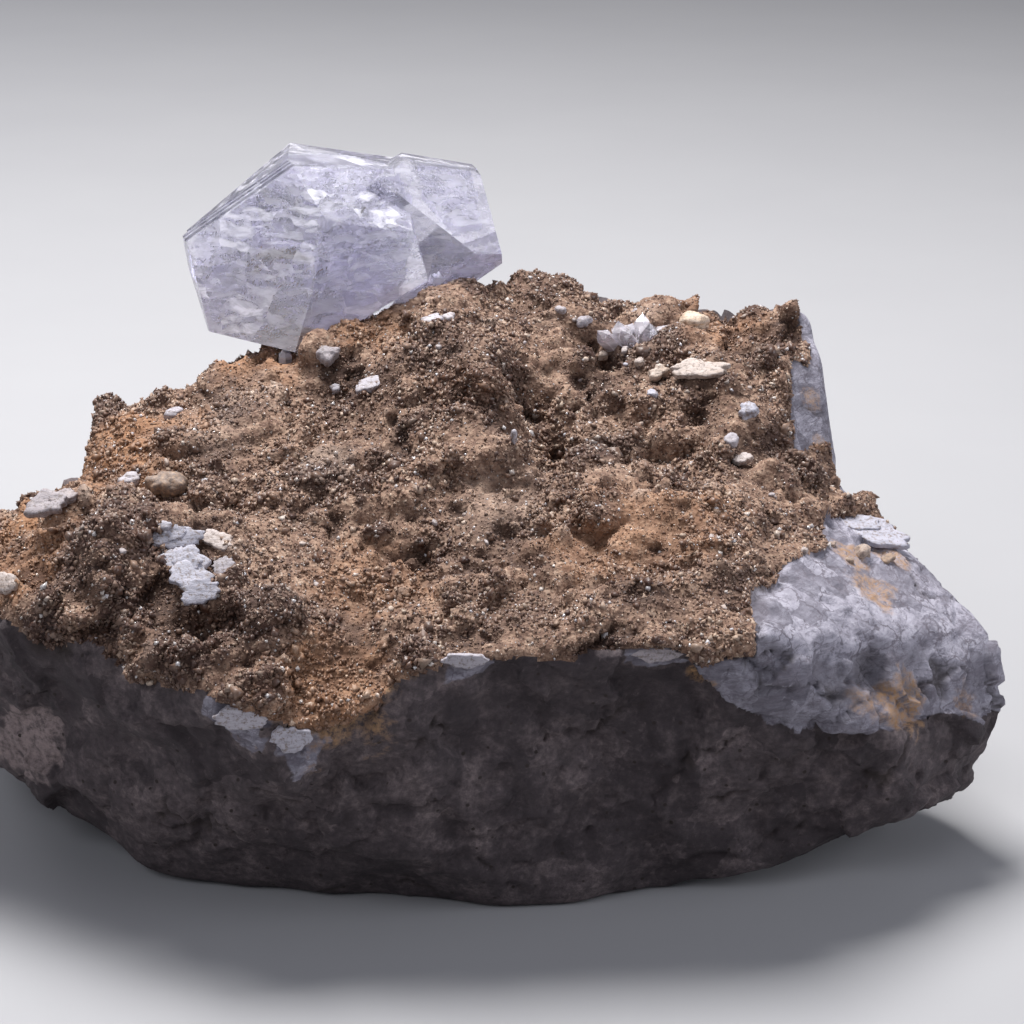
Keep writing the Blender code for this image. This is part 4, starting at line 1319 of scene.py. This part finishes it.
def in_outline(places, outline):
    """True for each place inside a closed outline."""
    inside = np.zeros(len(places), dtype=bool)
    x, y = places[:, 0], places[:, 1]
    for (ax, ay), (bx, by) in zip(outline, outline[1:] + outline[:1]):
        crosses = (ay > y) != (by > y)
        inside ^= crosses & (x < (bx - ax) * (y - ay) / (by - ay + 1e-12) + ax)
    return inside


def crystal_depths(tree, places):
    """The front and back of the crystal along its viewing line, for each place across it."""
    towards = Vector(CRYSTAL_TURN[:, 2])
    depths = np.full((len(places), 2), np.nan)
    for row, (right, up) in enumerate(places):
        for column, side in enumerate((1.0, -1.0)):
            start = Vector(from_crystal((right, up, side * RAY_START)) * MM + BLOCK_ORIGIN)
            hit = tree.ray_cast(start, -towards * side)
            if hit[0] is not None:
                depths[row, column] = side * (RAY_START - hit[3] / MM)
    return depths


class QUARTZ_OT_inclusions(bpy.types.Operator):
    """Make what the crystal holds: milky veils, healed cracks, rusty bits and black specks"""
    bl_idname = "quartz.inclusions"
    bl_label = "Crystal inclusions"

    def execute(self, context):
        quartz = context.scene.quartz_settings
        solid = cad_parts["herkimer_crystal"].data
        tree = BVHTree.FromPolygons([spot.co[:] for spot in solid.vertices],
                                    [face.vertices[:] for face in solid.polygons])
        self.add_veils(quartz, tree)
        self.add_flakes(quartz, tree)
        self.add_specks(tree)
        return {"FINISHED"}

    def add_veils(self, quartz, tree):
        """Thin wavy sheets, each ending where its outline does."""
        points, quads, bodies, rusts = [], [], [], []
        for outline, under, tilt, body, rust in SHEETS:
            low, high = np.min(outline, axis=0), np.max(outline, axis=0)
            columns, rows = np.ceil((high - low) / SHEET_STEP).astype(int) + 1
            across, up = np.meshgrid(np.linspace(low[0], high[0], columns),
                                     np.linspace(low[1], high[1], rows))
            places = np.column_stack((across.ravel(), up.ravel()))
            flat = np.column_stack((places, np.full(len(places), under)))
            depths = crystal_depths(tree, places)
            w = depths[:, 0] - under - (places - places.mean(axis=0)) @ np.array(tilt)
            w += 0.35 * noise_at(flat, 3.0) + 0.12 * noise_at(flat, 1.0)
            good = (w < depths[:, 0] - VEIL_MARGIN) & (w > depths[:, 1] + VEIL_MARGIN)
            good &= in_outline(places + 0.35 * noise_at(flat, 0.8)[:, None], outline)
            corner = (np.arange(rows - 1)[:, None] * columns + np.arange(columns - 1)).ravel()
            faces = np.column_stack((corner, corner + 1, corner + columns + 1, corner + columns))
            quads.append(faces[good[faces].all(axis=1)] + sum(len(part) for part in points))
            points.append(from_crystal(np.column_stack((places, np.nan_to_num(w)))))
            bodies.append(np.full(len(places), body))
            rusts.append(rust * smooth_step(-0.1, 0.5, noise_at(flat, 2.0, 3.0)))
        points, quads = np.concatenate(points), np.concatenate(quads)
        bodies, rusts = np.concatenate(bodies), np.concatenate(rusts)
        used, corners = np.unique(quads, return_inverse=True)
        mesh_data = mesh_of("veil_sheets", points[used], corners.reshape(-1, 4))
        give_values(mesh_data, "body", bodies[used])
        give_values(mesh_data, "rust", rusts[used])
        thing = loose_object("veil_sheets", mesh_data)
        thick = thing.modifiers.new("thick", "SOLIDIFY")
        thick.thickness = SHEET_THICKNESS * MM
        thick.use_rim = True
        made = baked(thing)
        made.shade_smooth()
        add_piece("milky_veils", made, veil_look(quartz))

    def add_flakes(self, quartz, tree):
        """Tiny thin flakes that lie along the healed cracks."""
        pick = np.random.default_rng(31)
        centres, tones, rusts, leans, ways = [], [], [], [], []
        for outline, under, tilt, dense, way, rust in VEILS.values():
            low, high = np.min(outline, axis=0), np.max(outline, axis=0)
            places = pick.uniform(low, high, (int(np.prod(high - low) * dense * quartz.veil_share), 2))
            places = places[in_outline(places, outline)]
            flat = np.column_stack((places, np.full(len(places), under)))
            waves = 0.7 * noise_at(flat, 3.5) + 0.25 * noise_at(flat, 1.2)
            gaps = noise_at(flat, 2.2, 5.0) + 0.5 * noise_at(flat, 0.8, 2.0)
            keep = gaps > pick.uniform(-0.9, 0.5, len(places))
            places, waves, flat = places[keep], waves[keep], flat[keep]
            depths = crystal_depths(tree, places)
            middle = places - places.mean(axis=0)
            w = depths[:, 0] - under - middle @ np.array(tilt) + waves
            good = (w < depths[:, 0] - VEIL_MARGIN) & (w > depths[:, 1] + VEIL_MARGIN)
            centres.append(from_crystal(np.column_stack((places, w))[good]))
            tones.append(pick.random(good.sum()) ** 0.7)
            rusts.append((pick.random(good.sum()) < rust) * pick.uniform(0.4, 1.0, good.sum()))
            leans.append(np.tile(tilt, (good.sum(), 1)))
            swirl = 1.1 * noise_at(flat[good], 2.8, 7.0)
            ways.append(way + swirl + 0.25 * pick.normal(size=good.sum()))
        centres, tones, rusts, leans, ways = (
            np.concatenate(rows) for rows in (centres, tones, rusts, leans, ways))
        count = len(centres)
        facing = unit(np.column_stack((leans, np.ones(count))) + 0.35 * pick.normal(size=(count, 3)))
        runs = np.column_stack((np.cos(ways), np.sin(ways), np.zeros(count)))
        across = unit(runs - (runs * facing).sum(axis=1)[:, None] * facing)
        axes = np.stack((across, np.cross(facing, across), facing), axis=2)
        turns = np.einsum("ij,njk->nik", CRYSTAL_TURN, axes)
        size = quartz.flake_size / MM / 2.0
        long = size * pick.uniform(0.5, 1.0, count) * np.exp(0.6 * np.abs(pick.normal(size=count)))
        wide = size * pick.uniform(0.22, 0.6, count)
        sizes = np.column_stack((long, wide, np.full(count, FLAKE_HALF_THICKNESS)))
        mesh_data = joined_copies("healed_cracks", centres, turns, sizes, "chip")
        give_values(mesh_data, "tone", np.repeat(tones, len(CHIP_POINTS)))
        give_values(mesh_data, "rust", np.repeat(rusts, len(CHIP_POINTS)))
        add_piece("healed_cracks", mesh_data, flake_look(quartz))

    def add_specks(self, tree):
        """Black specks, the largest a short rod in the upper middle."""
        rows = np.array(SPECKS)
        depths = crystal_depths(tree, rows[:, :2])
        centres = from_crystal(np.column_stack((rows[:, :2], depths[:, 0] - rows[:, 2])))
        turns = []
        for turn in rows[:, 6]:
            cosine, sine = math.cos(turn), math.sin(turn)
            turns.append(CRYSTAL_TURN @ np.array(((cosine, -sine, 0), (sine, cosine, 0), (0, 0, 1))))
        mesh_data = joined_copies("black_specks", centres, np.array(turns), rows[:, 3:6], "rhomb")
        add_piece("black_specks", mesh_data, speck_look())


class QUARTZ_OT_small_quartz(bpy.types.Operator):
    """Make the small quartz point and the pocket's cluster with softened edges"""
    bl_idname = "quartz.small_quartz"
    bl_label = "Small quartz"

    def execute(self, context):
        quartz = context.scene.quartz_settings
        look = quartz_look("small quartz", quartz, quartz.density * SMALL_QUARTZ_DENSER)
        for node in SMALL_CRYSTALS:
            thing = loose_object("fine_" + node, clean_copy(node))
            soften(thing, quartz.edge_bevel * 0.5, 1)
            add_piece("bright_" + node, baked(thing), look, node)
        return {"FINISHED"}


# Stage


class QUARTZ_OT_stage(bpy.types.Operator):
    """Make the pale floor, the soft lights and the camera"""
    bl_idname = "quartz.stage"
    bl_label = "Stage"

    def execute(self, context):
        stage = context.scene.stage_settings
        self.add_floor(stage)
        self.add_lights(context, stage)
        self.add_camera(context)
        context.scene.view_settings.view_transform = "Standard"
        return {"FINISHED"}

    def add_floor(self, stage):
        body = bmesh.new()
        bmesh.ops.create_grid(body, x_segments=8, y_segments=8, size=stage.floor_size / 2.0)
        mesh_data = bpy.data.meshes.new("floor")
        body.to_mesh(mesh_data)
        body.free()
        look = Look("pale floor")
        tone = look.noise(40.0, detail=3.0)
        cloudy = look.between(tone, 0.3, 0.7, 0.0, 0.06)
        look.set(Base_Color=look.mix(cloudy, stage.floor_colour, FLOOR_CLOUD), Roughness=0.85)
        mesh_data.materials.append(look.made)
        floor = loose_object("floor", mesh_data)
        floor.location = (0.0, 0.0, -FLOOR_GAP)

    def add_lights(self, context, stage):
        world = bpy.data.worlds.new("soft surround")
        world.use_nodes = True
        back = world.node_tree.nodes["Background"]
        back.inputs["Color"].default_value = opaque(stage.surround_colour)
        back.inputs["Strength"].default_value = stage.surround
        context.scene.world = world
        rows = (
            ("key", stage.key_power, (-0.06, 0.14, 0.45), 0.20, (1.0, 0.985, 0.98)),
            ("left_fill", stage.fill_power, (-0.36, -0.50, 0.50), 0.40, (0.90, 0.92, 1.0)),
            ("right_fill", stage.fill_power * 0.85, (0.50, -0.10, 0.18), 0.30, (0.90, 0.92, 1.0)),
            ("rim", stage.rim_power, (-0.35, 0.45, 0.30), 0.25, (0.93, 0.94, 1.0)),
        )
        for name, power, place, size, colour in rows:
            lamp = bpy.data.lights.new(name, "AREA")
            lamp.energy = power
            lamp.size = size
            lamp.color = colour
            thing = loose_object(name, lamp)
            thing.location = place
            ahead = Vector(LAMPS_LOOK_AT) - Vector(place)
            thing.rotation_euler = ahead.to_track_quat("-Z", "Y").to_euler()

    def add_camera(self, context):
        camera = bpy.data.cameras.new("camera")
        camera.sensor_width = SENSOR_WIDTH
        camera.lens = VIEW_DISTANCE * SENSOR_WIDTH / VIEW_WIDTH
        camera.clip_start, camera.clip_end = VIEW_RANGE
        camera.dof.use_dof = False
        thing = loose_object("camera", camera)
        target = Vector(np.array(VIEW_TARGET) * MM + BLOCK_ORIGIN)
        back = Vector((0.0, -math.cos(VIEW_ELEVATION), math.sin(VIEW_ELEVATION)))
        thing.location = target + back * VIEW_DISTANCE * MM
        thing.rotation_euler = (-back).to_track_quat("-Z", "Y").to_euler()
        context.scene.camera = thing


# Settings and panel


def colour_setting(name, description, default):
    return FloatVectorProperty(name=name, description=description, default=default, subtype="COLOR",
                               size=3, min=0.0, max=1.0)


def length_setting(name, description, default):
    return FloatProperty(name=name, description=description, default=default, min=0.0, unit="LENGTH",
                         subtype="DISTANCE", precision=5)


def number_setting(name, description, default):
    return FloatProperty(name=name, description=description, default=default, min=0.0)


def count_setting(name, description, default):
    return IntProperty(name=name, description=description, default=default, min=0)


class StoneSettings(bpy.types.PropertyGroup):
    skin_step: length_setting("Skin step", "Distance between points on the stone's surface", 0.00043)
    chip_depth: number_setting("Chip depth", "Depth of the chips in the broken faces, 1 as found", 1.0)
    wall_dark: colour_setting("Wall, dark", "Deepest tone of the weathered walls", (0.032, 0.025, 0.028))
    wall: colour_setting("Wall", "Purplish grey-brown of the walls", (0.082, 0.065, 0.069))
    wall_light: colour_setting("Wall, light", "Palest tone of the weathered walls", (0.20, 0.16, 0.16))
    pink: colour_setting("Wall, pink", "Pinkish scalloped patches of the walls", (0.26, 0.205, 0.20))
    fresh_grey: colour_setting("Fresh, grey", "Shaded tone of fresh breaks", (0.115, 0.108, 0.132))
    fresh: colour_setting("Fresh", "Lavender grey of fresh breaks", (0.235, 0.222, 0.265))
    fresh_white: colour_setting("Fresh, white", "Chalky white of fresh breaks", (0.43, 0.415, 0.475))
    fresh_line: colour_setting("Fresh, lines", "Thin lines over fresh breaks", (0.115, 0.10, 0.12))
    stain: colour_setting("Stain", "Ochre stain on fresh breaks", (0.36, 0.21, 0.10))
    # This colour also paints shade into the recesses at the right end.
    crack: colour_setting("Cracks", "Dark cracks and undercuts", (0.030, 0.022, 0.020))
    flake: colour_setting("Chips", "Bluish white chips", (0.40, 0.395, 0.455))
    flake_shade: colour_setting("Chips, shade", "Grey layers of the chips", (0.27, 0.26, 0.30))
    flake_dirt: colour_setting("Chips, dirt", "Sandy dirt in the chips' layers", (0.17, 0.125, 0.10))
    flake_cream: colour_setting("Chips, cream", "Cream chips", (0.48, 0.33, 0.21))
    flake_pale: colour_setting("Chips, pale cream", "Palest layers of cream chips", (0.60, 0.51, 0.43))


class CrustSettings(bpy.types.PropertyGroup):
    clump_height: number_setting("Clump height", "Height of the crust's clumps, 1 as found", 1.0)
    grain_size: length_setting("Grain size", "Usual size of the coarse grains", 0.00055)
    sand_count: count_setting("Sand", "Number of fine grains in each half", 41000)
    coarse_count: count_setting("Coarse", "Number of coarse grains", 10000)
    bright_count: count_setting("Bright", "Number of bright grains", 4000)
    brown: colour_setting("Dark brown", "Deepest brown of the crust", (0.060, 0.027, 0.018))
    brown_light: colour_setting("Brown", "Mid brown of the crust", (0.160, 0.087, 0.056))
    tan: colour_setting("Tan", "Usual sandy tone", (0.335, 0.220, 0.155))
    cream: colour_setting("Cream", "Pale grains", (0.50, 0.385, 0.295))
    bright: colour_setting("Bright", "Palest grains", (0.74, 0.68, 0.63))
    ochre: colour_setting("Ochre", "Rusty orange patches", (0.36, 0.165, 0.065))
    grey: colour_setting("Grey", "Greyish patches", (0.38, 0.30, 0.25))
    # Painted shade of the crust's hollows.
    shade: colour_setting("Hollows", "What the hollows' colour is multiplied by", (0.30, 0.255, 0.24))


class QuartzSettings(bpy.types.PropertyGroup):
    edge_bevel: length_setting("Edge", "Width of the softened crystal edges", 0.00009)
    ior: number_setting("IOR", "Index of refraction of quartz", 1.544)
    density: number_setting("Absorption", "Strength of the absorption inside, for each metre", 30.0)
    milk: number_setting("Milkiness", "Share of light that the milkiest spots send back", 0.58)
    tint: colour_setting("Tint", "Lavender tint of the crystal", (0.93, 0.925, 1.0))
    tint_low: colour_setting("Tint, low", "Pinkish tint of its lower part", (0.95, 0.91, 0.97))
    inside: colour_setting("Inside", "Colour that the inside lets through", (0.80, 0.78, 0.93))
    flake_size: length_setting("Flake size", "Usual size of the flakes in healed cracks", 0.00034)
    veil_share: number_setting("Veils", "How full the healed cracks are, 1 as found", 1.0)
    veil: colour_setting("Veil", "Bright flakes", (0.90, 0.89, 0.98))
    veil_dim: colour_setting("Veil, dim", "Duller flakes", (0.76, 0.75, 0.87))
    rust: colour_setting("Rust", "Rusty bits in the cracks", (0.34, 0.22, 0.14))


class StageSettings(bpy.types.PropertyGroup):
    floor_size: length_setting("Floor", "Side of the floor", 6.0)
    floor_colour: colour_setting("Floor colour", "Pale grey of the floor", (0.34, 0.34, 0.35))
    surround_colour: colour_setting("Surround", "Colour of the soft surrounding light", (0.84, 0.86, 1.0))
    surround: number_setting("Surround light", "Strength of the surrounding light", 0.16)
    key_power: number_setting("Key", "Power of the light above and a little behind", 4.2)
    fill_power: number_setting("Fill", "Power of the light from the front left", 1.6)
    rim_power: number_setting("Rim", "Power of the low light behind on the left", 0.8)


OPERATORS = (QUARTZ_OT_stage, QUARTZ_OT_stone, QUARTZ_OT_grains, QUARTZ_OT_chips, QUARTZ_OT_crystal,
             QUARTZ_OT_inclusions, QUARTZ_OT_small_quartz)
SETTINGS = {"stone_settings": StoneSettings, "crust_settings": CrustSettings,
            "quartz_settings": QuartzSettings, "stage_settings": StageSettings}


class QUARTZ_PT_panel(bpy.types.Panel):
    """Lists the steps and their settings"""
    bl_idname = "QUARTZ_PT_panel"
    bl_label = "Crystal on stone"
    bl_space_type = "VIEW_3D"
    bl_region_type = "UI"
    bl_category = "Crystal"

    def draw(self, context):
        for operator in OPERATORS:
            self.layout.operator(operator.bl_idname)
        for name, group in SETTINGS.items():
            box = self.layout.box()
            for setting in group.__annotations__:
                box.prop(getattr(context.scene, name), setting)


CLASSES = (*SETTINGS.values(), *OPERATORS, QUARTZ_PT_panel)


def register():
    for made in CLASSES:
        bpy.utils.register_class(made)
    for name, group in SETTINGS.items():
        setattr(bpy.types.Scene, name, PointerProperty(type=group))


def unregister():
    for name in SETTINGS:
        delattr(bpy.types.Scene, name)
    for made in reversed(CLASSES):
        bpy.utils.unregister_class(made)


def main():
    register()
    bpy.ops.quartz.stage()
    bpy.ops.quartz.stone()
    bpy.ops.quartz.grains()
    bpy.ops.quartz.chips()
    bpy.ops.quartz.crystal()
    bpy.ops.quartz.inclusions()
    bpy.ops.quartz.small_quartz()


if __name__ == "__main__":
    main()
